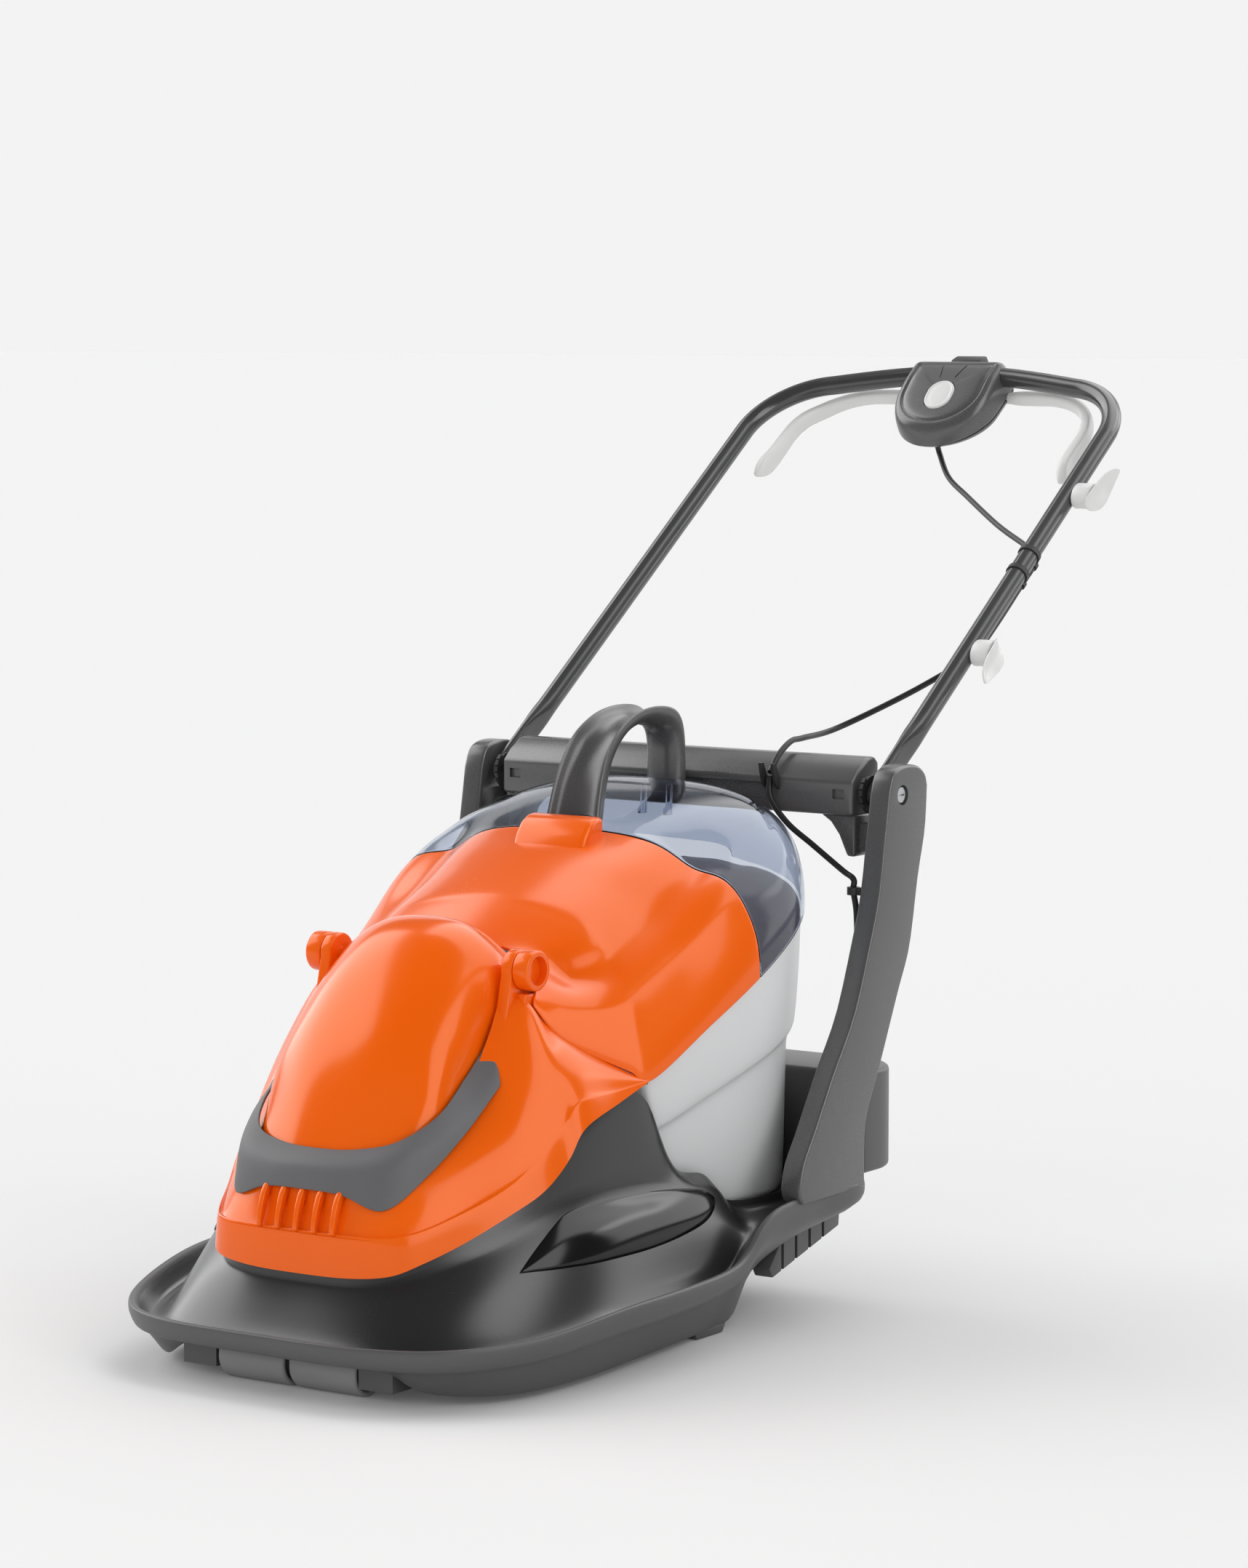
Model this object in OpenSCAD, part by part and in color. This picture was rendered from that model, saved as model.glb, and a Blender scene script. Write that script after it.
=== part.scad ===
// Electric hover mower with a grass box, a hinged lid and a folding handle.
// Lengths are in millimetres. The mower faces -Y and stands on Z = 0.
// Stations along Y are counted back from a line under the nose dome.

/* [Frame] */
// Distance of station zero in front of the middle of the mower
station_ahead = 415.4; // [410:0.2:420]
// Radial clearance of every running fit
running = 0.05; // [0.02:0.01:0.09]
// Gap between parts that move past each other
gap = 0.6; // [0.4:0.1:1]

/* [Shells] */
// Wall of the moulded deck
deck_wall = 3; // [2:0.5:3.5]
// Wall of the orange covers
cover_wall = 2.6; // [2:0.2:3.2]
// Wall of the lid
lid_wall = 3; // [2:0.2:3.6]
// Wall of the grass box
box_wall = 2.6; // [2:0.2:3.2]
// Depth of the step under the flared band of the grass box
box_step = 7; // [4:0.5:9]

/* [Front rollers] */
// Diameter of a front roller
roller_d = 48; // [44:1:52]
// Length of a front roller
roller_len = 80; // [70:1:81]
// Diameter of the roller axle
axle_d = 8; // [6:0.5:10]
// Width of a roller block
block_w = 40; // [30:1:46]

/* [Motor and blade] */
// Diameter of the motor can
motor_d = 118; // [100:1:126]
// Length of the motor can
motor_len = 150; // [130:1:165]
// Wall of the motor can
can_wall = 2; // [1.5:0.25:3]
// Diameter of the motor shaft
shaft_d = 12; // [10:0.5:14]
// Diameter of the armature stack
armature_d = 62; // [50:1:66]
// Diameter of the fan
fan_d = 250; // [220:2:270]
// Number of fan blades
fan_blades = 10; // [8:1:14]
// Length of the cutting blade
blade_len = 360; // [340:1:366]
// Width of the cutting blade
blade_w = 46; // [38:1:54]
// Thickness of the cutting blade
blade_t = 3; // [2:0.25:4]

/* [Lid hinge] */
// Diameter of a lid hinge knob
knob_d = 40; // [36:1:42]
// Diameter of a lid hinge pin
pin_d = 12; // [8:0.5:14]
// Thickness of a lid hinge knob
knob_t = 13; // [10:0.5:15]

/* [Carry handle] */
// Width of the carry handle
grip_w = 56; // [46:1:62]
// Thickness of the carry handle bar
grip_t = 25; // [20:1:27]

/* [Rear frame] */
// Thickness of an upright arm
arm_t = 24; // [18:1:28]
// Diameter of a handle pivot rod
rod_d = 8; // [6:0.5:10]

/* [Handle] */
// Diameter of the handle tube
tube_d = 22; // [20:0.5:24]
// Wall of the handle tube
tube_wall = 1.5; // [1:0.25:2]
// Distance between the legs of the handle, centre to centre
leg_spacing = 476; // [472:1:478]
// Length of a handle leg from its pivot to the bend
leg_len = 604; // [600:1:640]
// Bend radius of the handle at its centre line
bend_r = 90; // [84:1:94]
// Slope of the handle above the ground
handle_slope = 36.2; // [30:0.1:40]

/* [Switch box] */
// Half width of the switch box
switch_r = 59; // [56:1:64]
// Wall of the switch box
switch_wall = 3; // [2:0.5:4]
// Travel of the lock-off button
button_travel = 4; // [2:0.5:5]
// Length of the lock-off button
button_len = 42; // [36:1:46]
// Width of the lock-off button
button_w = 35; // [30:1:38]
// Diameter of the lever shaft
lever_shaft_d = 6; // [5:0.5:8]

/* [Cable] */
// Diameter of the motor cable
cable_d = 6.4; // [5:0.2:7]

/* [Hidden] */
$fn = 64;

ORANGE = [0.93, 0.33, 0.05];
CHARCOAL = [0.17, 0.17, 0.18];
BLACK = [0.09, 0.09, 0.1];
PALE = [0.76, 0.77, 0.77];
STEEL = [0.72, 0.73, 0.75];
COPPER = [0.72, 0.42, 0.22];

// Curves and sheets

function spline(a, b, c, d, t) =
  0.5 * (2 * b + (c - a) * t + (2 * a - 5 * b + 4 * c - d) * t * t + (3 * b - a - 3 * c + d) * t * t * t);
function clampi(i, n) = min(max(i, 0), n - 1);
function along(p, t) =
  let (n = len(p), i = clampi(floor(t), n - 1))
  spline(p[clampi(i - 1, n)], p[i], p[clampi(i + 1, n)], p[clampi(i + 2, n)], t - i);
function smooth(p, steps) = [for (k = [0 : steps]) along(p, k * (len(p) - 1) / steps)];
function flip_x(p) = [-p[0], p[1], p[2]];
// A row given from the centre line to the right edge, continued to the left edge
function both_sides(row) =
  concat([for (i = [len(row) - 1 : -1 : 1]) flip_x(row[i])], row);
// A ring given from the front centre round the right side to the rear centre
function full_ring(row) =
  concat(row, [for (i = [len(row) - 2 : -1 : 1]) flip_x(row[i])]);
function net(rows, steps_u, steps_v) =
  let (cols = [for (r = rows) smooth(r, steps_u)])
  let (turned = [for (k = [0 : steps_u]) smooth([for (r = cols) r[k]], steps_v)])
  [for (j = [0 : steps_v]) [for (k = [0 : steps_u]) turned[k][j]]];
function unit(v) = v / max(norm(v), 0.0001);
function wrapi(i, n, ring) = ring ? (i + n) % n : clampi(i, n);
// The same grid moved along its normals
function inset(g, t, ring = false) =
  let (m = len(g), n = len(g[0]))
  [for (i = [0 : m - 1]) [for (j = [0 : n - 1])
    let (du = g[clampi(i + 1, m)][j] - g[clampi(i - 1, m)][j])
    let (dv = g[i][wrapi(j + 1, n, ring)] - g[i][wrapi(j - 1, n, ring)])
    g[i][j] + t * unit(cross(du, dv))]];

// Closed solid between two grids of points
module sheet(top, under, ring = false, cap = false) {
  m = len(top);
  n = len(top[0]);
  last = ring ? n - 1 : n - 2;
  points = concat([for (r = top) each r], [for (r = under) each r]);
  function a(i, j) = i * n + j % n;
  function b(i, j) = m * n + i * n + j % n;
  skin = [for (i = [0 : m - 2]) for (j = [0 : last]) each [
    [a(i, j), a(i, j + 1), a(i + 1, j + 1)], [a(i, j), a(i + 1, j + 1), a(i + 1, j)],
    [b(i, j), b(i + 1, j + 1), b(i, j + 1)], [b(i, j), b(i + 1, j), b(i + 1, j + 1)]]];
  start = [for (j = [0 : last]) each [
    [a(0, j), b(0, j), b(0, j + 1)], [a(0, j), b(0, j + 1), a(0, j + 1)]]];
  e = m - 1;
  end = cap
    ? [[for (j = [0 : n - 1]) a(e, j)], [for (j = [n - 1 : -1 : 0]) b(e, j)]]
    : [for (j = [0 : last]) each [
        [a(e, j), a(e, j + 1), b(e, j + 1)], [a(e, j), b(e, j + 1), b(e, j)]]];
  f = n - 1;
  sides = ring ? [] : [for (i = [0 : m - 2]) each [
    [a(i, 0), a(i + 1, 0), b(i + 1, 0)], [a(i, 0), b(i + 1, 0), b(i, 0)],
    [a(i, f), b(i, f), b(i + 1, f)], [a(i, f), b(i + 1, f), a(i + 1, f)]]];
  polyhedron(points, concat(skin, start, end, sides), convexity = 10);
}

// Round cord swept along a smooth line through the points of a route
module cord(route, d, rings) {
  sides = 8;
  path = smooth(route, rings);
  function heading(i) = unit(path[min(i + 1, rings)] - path[max(i - 1, 0)]);
  function side_of(t) = unit(cross(t, abs(t[0]) > 0.9 ? [0, 1, 0] : [1, 0, 0]));
  points = [for (i = [0 : rings]) let (t = heading(i), p = side_of(t), q = cross(t, p))
    for (k = [0 : sides - 1])
      path[i] + d / 2 * (p * cos(k * 360 / sides) + q * sin(k * 360 / sides))];
  walls = [for (i = [0 : rings - 1]) for (k = [0 : sides - 1]) each [
    [i * sides + k, (i + 1) * sides + (k + 1) % sides, i * sides + (k + 1) % sides],
    [i * sides + k, (i + 1) * sides + k, (i + 1) * sides + (k + 1) % sides]]];
  ends = [[for (k = [0 : sides - 1]) k], [for (k = [sides - 1 : -1 : 0]) rings * sides + k]];
  polyhedron(points, concat(walls, ends), convexity = 6);
}

// Bar of constant outline along X
module across(x0, x1) {
  translate([x0, 0, 0]) rotate([90, 0, 90]) linear_extrude(x1 - x0) children();
}
module rod_x(x0, x1, d) { translate([x0, 0, 0]) rotate([0, 90, 0]) cylinder(d = d, h = x1 - x0); }
module both() { children(); mirror([1, 0, 0]) children(); }
// From stations at the blade shaft to the mower's own frame
module placed() { translate([0, -station_ahead, 0]) children(); }

// Deck: a tray with a rolled rim, a dome and a tower round the motor

deck_middle = [0, 90, 0];
function inward(p, d) = p - d * unit([p[0], p[1] - deck_middle[1], 0]);
function moved(row, d, dz) = [for (p = row) inward(p, d) + [0, 0, dz]];
function dropped(row, d, more) = [for (i = [0 : len(row) - 1])
  inward(row[i], d) - [0, 0, lip_drop[i] + more]];
function mix(a, b, t) = [for (i = [0 : len(a) - 1]) a[i] + t * (b[i] - a[i])];
deck_half_steps = 30;

rim_line = [
  [0, -254, 62], [110, -250, 62], [190, -214, 62], [245, -130, 66], [270, -20, 80], [274, 90, 83],
  [267, 182, 88],
  [266, 226, 118], [266, 262, 133], [266, 330, 136], [262, 425, 136], [150, 446, 136], [0, 448, 136]];
lip_drop = [9, 9, 9, 9, 10, 10, 11, 16, 20, 20, 12, 9, 9];
bottom_line = [
  [0, -214, 36], [95, -212, 36], [158, -195, 12], [207, -138, 7], [224, -40, 6], [218, 80, 6], [212, 150, 6],
  [205, 215, 6], [198, 262, 6], [172, 312, 7], [130, 345, 8], [70, 360, 9], [0, 363, 9]];
bowl_line = [
  [0, -224, 38], [99, -221, 38], [168, -200, 32], [216, -140, 34], [236, -38, 40], [232, 85, 42],
  [226, 155, 44],
  [217, 222, 47], [210, 270, 51], [186, 325, 58], [145, 365, 66], [80, 385, 70], [0, 390, 70]];
dome_foot = [
  [0, -219, 47], [100, -215, 47], [166, -186, 48], [209, -118, 52], [234, -15, 66], [240, 92, 69],
  [241, 180, 74],
  [242, 226, 99], [240, 268, 113], [234, 326, 118], [228, 414, 118], [142, 430, 118], [0, 433, 118]];
dome_line = [
  [0, -198, 80], [86, -194, 82], [142, -166, 88], [182, -104, 104], [212, -12, 128],
  [224, 95, 132], [229, 176, 126],
  [228, 224, 120], [218, 264, 118], [220, 322, 121], [214, 402, 121], [138, 422, 121], [0, 425, 121]];
tower_foot = [
  [0, -188, 100], [74, -185, 102], [116, -158, 112], [160, -95, 138], [188, -10, 166],
  [204, 92, 170], [212, 172, 160],
  [213, 220, 150], [207, 256, 126], [216, 320, 125], [210, 398, 125], [140, 418, 125], [0, 421, 125]];
tower_top = [
  [0, -186, 126], [71, -183, 128], [114, -156, 140], [155, -92, 174], [184, 0, 232],
  [198, 98, 268], [198, 158, 182],
  [200, 214, 166], [202, 250, 134], [212, 318, 131], [207, 395, 131], [140, 415, 131], [0, 418, 131]];
plate_line = [
  [0, -92, 110], [42, -88, 110], [74, -68, 110], [100, -32, 110], [112, 20, 110], [114, 70, 110],
  [114, 126, 110],
  [116, 160, 110], [112, 190, 113], [96, 214, 119], [66, 230, 122], [34, 238, 122], [0, 240, 122]];
opening_line = [
  [0, -54, 110], [26, -50, 110], [48, -36, 110], [66, -12, 110], [74, 22, 110], [76, 60, 110], [76, 95, 110],
  [76, 118, 110], [75, 134, 110], [66, 145, 110], [46, 150, 110], [22, 151, 110], [0, 151, 110]];

function deck_rings(rows) = [for (r = rows) full_ring(smooth(r, deck_half_steps))];

module deck_hood() {
  wall_top_in = moved(tower_top, deck_wall, 0);
  plate_under = moved(plate_line, 0, -deck_wall);
  tower_under = moved(tower_foot, deck_wall, -deck_wall);
  wall_foot_in = [for (i = [0 : len(tower_top) - 1])
    [wall_top_in[i][0], wall_top_in[i][1], tower_foot[i][2] - 1]];
  bowl_in = moved(bowl_line, deck_wall, 0);
  foot_under = moved(dome_foot, deck_wall, -deck_wall - 1);
  outside = [bottom_line, bowl_line, dropped(rim_line, 9, 11), dropped(rim_line, 0, 0), rim_line,
    moved(rim_line, 8, -1), moved(rim_line, 20, -17), dome_foot, dome_line, tower_foot, tower_top,
    wall_top_in, wall_foot_in, plate_line, opening_line];
  inside = [moved(bottom_line, deck_wall, 0), bowl_in, mix(bowl_in, foot_under, 0.15),
    mix(bowl_in, foot_under, 0.3), mix(bowl_in, foot_under, 0.45), mix(bowl_in, foot_under, 0.6),
    mix(bowl_in, foot_under, 0.8), foot_under, moved(dome_line, deck_wall, -deck_wall),
    tower_under, mix(tower_under, plate_under, 0.03), mix(tower_under, plate_under, 0.06),
    mix(tower_under, plate_under, 0.09), plate_under, moved(opening_line, 0, -deck_wall)];
  color(BLACK) placed() sheet(deck_rings(inside), deck_rings(outside), ring = true);
}

// Feet under the bowl, flat where they touch the ground, and ribs under the tail
foot_in = 190;
rib_in = 200;
rib_pitch = 26;
module tail_skids() {
  ribs = [[302, 54], [308, 42], [436, 78], [438, 98], [330, 88]];
  color(BLACK) placed() both() {
    across(foot_in, foot_in + 14) polygon([[196, 0], [242, 0], [248, 9], [190, 9]]);
    across(rib_in, rib_in + 8) polygon(ribs);
    intersection() {
      across(rib_in, rib_in + 22) polygon(ribs);
      union() for (k = [0 : 4])
        translate([rib_in, 312 + k * rib_pitch, 0]) cube([22, 5, 120]);
    }
  }
}

// Hollow cover across the back, behind the arms
housing_half = 262;
housing_front = 418;
module rounded_plan(half, y0, y1, r) {
  polygon(concat([[half, y0], [half, y1 - r]],
    [for (a = [0 : 10 : 90]) [half - r + r * cos(a), y1 - r + r * sin(a)]],
    [for (a = [90 : 10 : 180]) [-half + r + r * cos(a), y1 - r + r * sin(a)]],
    [[-half, y1 - r], [-half, y0]]));
}
module housing_form(w) {
  intersection() {
    across(-housing_half + w, housing_half - w)
      polygon([[housing_front + w, 135.9 + w], [housing_front + w, 200], [440 + w, 244 - w], [448, 246 - w],
        [472, 246 - w], [498, 236 - w], [512 - w, 218 - w], [512 - w, 160], [490, 140 + w]]);
    linear_extrude(260) rounded_plan(housing_half - w, housing_front - 1, 514 - w, 60);
  }
}
module rear_housing() {
  color(BLACK) placed() difference() {
    housing_form(0);
    housing_form(deck_wall);
  }
}

// Rubber flap that hangs under the tail
module rear_flap() {
  color(BLACK) placed()
    across(-150, 150) polygon([[456, 138], [456, 100], [466, 62], [469, 63], [460, 101], [460, 138.2]]);
}

// Front rollers

axle_y = -186;
axle_z = roller_d / 2;
roller_mid_gap = 3;
block_in = roller_mid_gap + roller_len + 2 * gap + 2;
module at_axle() { placed() translate([0, axle_y, axle_z]) children(); }
module roller_blocks() {
  color(CHARCOAL) at_axle() both() difference() {
    across(block_in, block_in + block_w)
      polygon([[-22, -12], [-22, 10], [-26, 13], [-26, 23], [22, 23], [22, -6], [14, -12]]);
    rod_x(block_in - 1, block_in + block_w + 1, axle_d + 2 * running);
  }
}
module roller_axle() {
  color(STEEL) at_axle() rod_x(-block_in - block_w + 6, block_in + block_w - 6, axle_d);
}
module front_roller() {
  color(CHARCOAL) at_axle() difference() {
    union() {
      rod_x(roller_mid_gap, roller_mid_gap + roller_len, roller_d);
      rod_x(roller_mid_gap - 1, roller_mid_gap + roller_len + 1, axle_d + 10);
    }
    rod_x(roller_mid_gap - 2, roller_mid_gap + roller_len + 2, axle_d + 2 * running);
    for (x = [roller_mid_gap - 1, roller_mid_gap + roller_len - 11])
      translate([x, 0, 0]) difference() {
        rod_x(0, 12, roller_d - 10);
        rod_x(-1, 13, axle_d + 10);
      }
  }
}
module front_roller_right() { front_roller(); }
module front_roller_left() { mirror([1, 0, 0]) front_roller(); }

// Motor, fan and blade on the shaft

plate_z = 110;
mount_t = 6;
shaft_y = 22;
can_floor = plate_z + mount_t;
can_top = can_floor + motor_len;
bearing_h = 10;
bearing_d = 32;
stack_z = 40;
stack_len = 42;
blade_z = 24;
fan_z = 44;
fan_hub_d = 60;
bolt_d = 10;
module at_shaft() { placed() translate([0, shaft_y, 0]) children(); }
module motor_mount() {
  color(BLACK) at_shaft() translate([0, 0, plate_z]) linear_extrude(mount_t) difference() {
    intersection() {
      circle(r = 98);
      translate([-110, -110]) square([220, 110 + motor_d / 2 + 2]);
    }
    circle(d = bearing_d + 2 * running);
  }
}
module motor_can() {
  color(STEEL) at_shaft() translate([0, 0, can_floor]) difference() {
    cylinder(d = motor_d, h = motor_len);
    translate([0, 0, can_wall]) cylinder(d = motor_d - 2 * can_wall, h = motor_len);
    translate([0, 0, -1]) cylinder(d = bearing_d + 2 * running, h = can_wall + 2);
    for (a = [30 : 60 : 330])
      rotate(a) translate([motor_d / 2 - 8, -8, motor_len * 0.3]) cube([20, 16, motor_len * 0.35]);
  }
}
module motor_end_cap() {
  color(BLACK) at_shaft() translate([0, 0, can_top]) difference() {
    union() {
      cylinder(d = motor_d, h = 6);
      cylinder(d = bearing_d + 12, h = 16);
    }
    translate([0, 0, -1]) cylinder(d = bearing_d + 2 * running, h = bearing_h + 3);
  }
}
module stator() {
  color(STEEL) at_shaft() translate([0, 0, can_floor + stack_z]) difference() {
    cylinder(d = motor_d - 2 * can_wall - 0.1, h = stack_len);
    translate([0, 0, -1]) cylinder(d = armature_d + 4 * gap, h = stack_len + 2);
  }
}
module motor_bearings() {
  color(STEEL) at_shaft()
    for (z = [can_floor - bearing_h + can_wall, can_top + 2])
      translate([0, 0, z]) difference() {
        cylinder(d = bearing_d, h = bearing_h);
        translate([0, 0, -1]) cylinder(d = shaft_d + 2 * running, h = bearing_h + 2);
      }
}
module motor_shaft() {
  color(STEEL) at_shaft() difference() {
    translate([0, 0, blade_z + blade_t]) cylinder(d = shaft_d, h = can_top + 11 - blade_z - blade_t);
    translate([0, 0, blade_z]) cylinder(d = bolt_d * 0.8, h = 30);
  }
}
module armature() {
  color(COPPER) at_shaft() translate([0, 0, can_floor + stack_z - 16]) difference() {
    union() {
      translate([0, 0, 14]) cylinder(d = armature_d, h = stack_len + 4);
      cylinder(d = armature_d - 14, h = stack_len + 32);
    }
    translate([0, 0, -1]) cylinder(d = shaft_d, h = stack_len + 40);
  }
}
module commutator() {
  color(COPPER) at_shaft() translate([0, 0, can_floor + 110]) difference() {
    cylinder(d = shaft_d + 18, h = 22);
    translate([0, 0, -1]) cylinder(d = shaft_d, h = 24);
  }
}
module brush_holders() {
  reach = motor_d / 2 - can_wall;
  start = shaft_d / 2 + 9 + gap;
  end = sqrt(reach * reach - 49) - 0.1;
  color(BLACK) at_shaft() translate([0, 0, can_floor + 114]) both()
    translate([start, -7, 0]) cube([end - start, 14, 14]);
}
module fan() {
  disc = 4;
  color(BLACK) at_shaft() translate([0, 0, fan_z]) difference() {
    union() {
      translate([0, 0, 36]) cylinder(d = fan_d, h = disc);
      cylinder(d = fan_hub_d, h = 40);
      for (k = [0 : fan_blades - 1])
        rotate(k * 360 / fan_blades) translate([fan_hub_d / 2 - 3, -1.5, 8])
          cube([fan_d / 2 - fan_hub_d / 2, 3, 30]);
    }
    translate([0, 0, -1]) cylinder(d = shaft_d, h = 60);
  }
}
module blade_spacers() {
  free = fan_z - blade_z - blade_t;
  count = 2;
  color(CHARCOAL) at_shaft()
    for (k = [0 : count - 1])
      translate([0, 0, blade_z + blade_t + k * free / count]) difference() {
        cylinder(d = 54, h = free / count);
        translate([0, 0, -1]) cylinder(d = shaft_d, h = free);
      }
}
module blade() {
  tip = 60;
  half = blade_w / 2;
  color(STEEL) at_shaft() translate([0, 0, blade_z]) difference() {
    union() {
      across(-blade_len / 2, blade_len / 2)
        polygon([[-half, 0], [half, 0], [half, blade_t], [-half, blade_t]]);
      for (turn = [0, 180])
        rotate(turn) across(blade_len / 2 - tip, blade_len / 2)
          polygon([[half - 8, 0.5], [half, 0.5], [half + 8, 8], [half + 6, 10], [half - 2, blade_t],
            [half - 8, blade_t]]);
    }
    translate([0, 0, -1]) cylinder(d = bolt_d + 2 * running, h = blade_t + 2);
  }
}
module blade_bolt() {
  color(STEEL) at_shaft() {
    translate([0, 0, blade_z - 3]) cylinder(d = 28, h = 3);
    translate([0, 0, blade_z - 9]) cylinder(d = 20, h = 6, $fn = 6);
    translate([0, 0, blade_z - 3]) cylinder(d = bolt_d * 0.8, h = 30);
  }
}

// Grass path

duct_half = 70;
duct_wall = 2.5;
module grass_duct() {
  color(BLACK) placed() difference() {
    union() {
      across(-duct_half - duct_wall, duct_half + duct_wall)
        polygon([[86, plate_z + 1.3], [142, plate_z + 1.3], [150, 150], [138, 182], [118, 236], [96, 236],
          [86, 206]]);
      across(-duct_half - 14, duct_half + 14)
        polygon([[86, plate_z + 1.3], [149, plate_z + 1.3], [149, plate_z + 3.6], [86, plate_z + 3.6]]);
    }
    across(-duct_half, duct_half)
      polygon([[89, 100], [139, 100], [147, 150], [136, 180], [150, 190], [150, 233], [98, 233], [89, 205]]);
  }
}

rim_slope = 0.55;
rim_front_y = 111;
rim_front_z = 276;
function rim_z(y) = rim_front_z + rim_slope * (y - rim_front_y);
box_mouth = [
  [0, 106], [110, 106], [186, 109], [203, 124], [219, 190], [229, 250], [232, 300], [228, 340],
  [216, 370], [196, 394], [163, 414], [110, 429], [0, 435]];
box_floor = [
  [0, 164], [90, 164], [158, 168], [176, 188], [184, 230], [195, 272], [203, 312], [204, 340],
  [198, 364], [182, 384], [150, 400], [98, 408], [0, 410]];
box_floor_z = 124.4;
box_half_steps = 24;
function box_ring(t, z_at, push) = full_ring(smooth([for (i = [0 : len(box_mouth) - 1])
  let (top = box_mouth[i], low = box_floor[i], p = top + t * (low - top))
  let (z0 = rim_z(top[1]) - gap)
  inward([p[0], p[1], z_at < 0 ? z0 + t * (box_floor_z + 14 - z0) : z_at], push)], box_half_steps));
module grass_box() {
  rings = [box_ring(0, -1, 0), box_ring(0.26, -1, -2), box_ring(0.42, -1, -1), box_ring(0.46, -1, box_step),
    box_ring(0.75, -1, box_step * 0.5), box_ring(1, -1, 0), box_ring(1, box_floor_z + 5, 4),
    box_ring(1, box_floor_z, 14)];
  inner = [for (i = [0 : len(rings) - 1]) let (flat = i == len(rings) - 1)
    [for (p = rings[i])
      inward(p, box_wall) + [0, 0, flat || i == len(rings) - 2 ? box_wall : 0]]];
  color(PALE) placed() difference() {
    sheet(rings, inner, ring = true, cap = true);
    across(-duct_half - duct_wall - 1, duct_half + duct_wall + 1)
      polygon([[90, 181], [160, 181], [160, 238], [90, 238]]);
  }
}

// Orange covers over the motor

cover_low = [
  [0, -193, 111], [60, -191, 112], [103, -182, 117], [124, -160, 127], [145, -120, 143], [170, -76, 167],
  [184, -40, 186], [190, -8, 212], [195, 12, 240], [200, 62, 258], [204.8, 108, 273.8]];
cover_shoulder = [
  [0, -192, 150], [60, -190, 150], [101, -181, 151], [122, -158, 156], [143, -118, 170], [166, -75, 190],
  [178, -40, 212], [184, -8, 240], [190, 13, 262], [197, 62, 267.5], [205, 107.8, 274.2]];
cover_middle = [
  [0, -182, 168], [56, -180, 168], [92, -170, 171], [115, -146, 181], [133, -106, 204], [149, -66, 232],
  [158, -35, 262], [164, -5, 290], [171, 20, 297], [187, 61, 286], [204.5, 107.8, 274.6]];
cover_high = [
  [0, -174, 196], [50, -172, 196], [84, -161, 198], [102, -136, 208], [117, -96, 232], [125, -56, 266],
  [130, -25, 308], [131, 7, 353], [141.5, 26, 332.5], [169.5, 60, 303.5], [203.5, 108, 274]];
cover_top = [
  [0, -167, 199], [48, -165, 199], [79, -153, 202], [96, -128, 213], [107.5, -92, 242], [108, -56, 286],
  [107, -24, 330], [107.5, 4, 366], [139.5, 27, 330], [167.5, 61, 301], [201.5, 109, 272]];
hinge_y = 18;
hinge_z = 388;
arm_inner = 104;
knob_inner = arm_inner + 13 + gap;
module at_hinge() { placed() translate([0, hinge_y, hinge_z]) children(); }
module motor_cover() {
  rows = [cover_low, cover_shoulder, cover_middle, cover_high, cover_top];
  grid = net([for (r = rows) both_sides(r)], 40, 10);
  color(ORANGE) {
    placed() sheet(inset(grid, cover_wall), grid);
    at_hinge() both() difference() {
      union() {
        rod_x(arm_inner, knob_inner - gap, knob_d);
        across(arm_inner, knob_inner - gap)
          polygon([[-20, 0], [17, -12], [10, -46], [-12, -66], [-30, -62]]);
        across(knob_inner - gap - 1, 131) polygon([[-12, -46], [-22, -40], [-34, -60], [-16, -66]]);
      }
      rod_x(arm_inner - 1, knob_inner, pin_d + 2 * running);
    }
  }
}
dome_rows = [
  [[0, -160, 228], [28, -159, 229], [52, -154, 231], [72, -146, 234], [86, -136, 239]],
  [[0, -128, 300], [42, -124, 301], [76, -112, 296], [95, -104, 280], [103, -100, 258]],
  [[0, -80, 368], [44, -77, 366], [78, -68, 352], [97, -62, 325], [103, -60, 291]],
  [[0, -30, 414], [42, -28, 410], [74, -23, 393], [96, -20, 362], [103.4, -20, 326]],
  [[0, 14, 432], [40, 14, 428], [72, 14, 412], [96, 13, 386], [103.4, 12, 354]],
  [[0, 46, 424], [38, 46, 420], [68, 46, 405], [91, 45, 385], [98, 44, 360]]];
module nose_dome() {
  grid = net([for (r = dome_rows) both_sides(r)], 24, 16);
  color(ORANGE) placed() sheet(inset(grid, cover_wall), grid);
}
trim_high = [
  [0, -162.7, 227], [45, -158.7, 229], [84.5, -143, 238], [105.5, -105, 260], [106, -62, 290],
  [105.5, -30, 316]];
trim_crest = [
  [0, -180, 214], [46, -176, 214], [91, -160, 219], [116, -116, 240], [124, -70, 268], [123, -34, 302]];
trim_low = [
  [0, -184, 191], [46, -182, 189], [90, -172, 177], [114, -132, 208], [127, -88, 245], [133, -42, 284]];
module nose_trim() {
  grid = net([for (r = [trim_low, trim_crest, trim_high]) both_sides(r)], 24, 4);
  color(CHARCOAL) placed() sheet(inset(grid, cover_wall), grid);
}
module hinge_pins() {
  color(ORANGE) at_hinge() both() rod_x(arm_inner - 2, knob_inner + knob_t - 5, pin_d);
}

// Lid: a domed arch from the hinge to the back of the grass box

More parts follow.
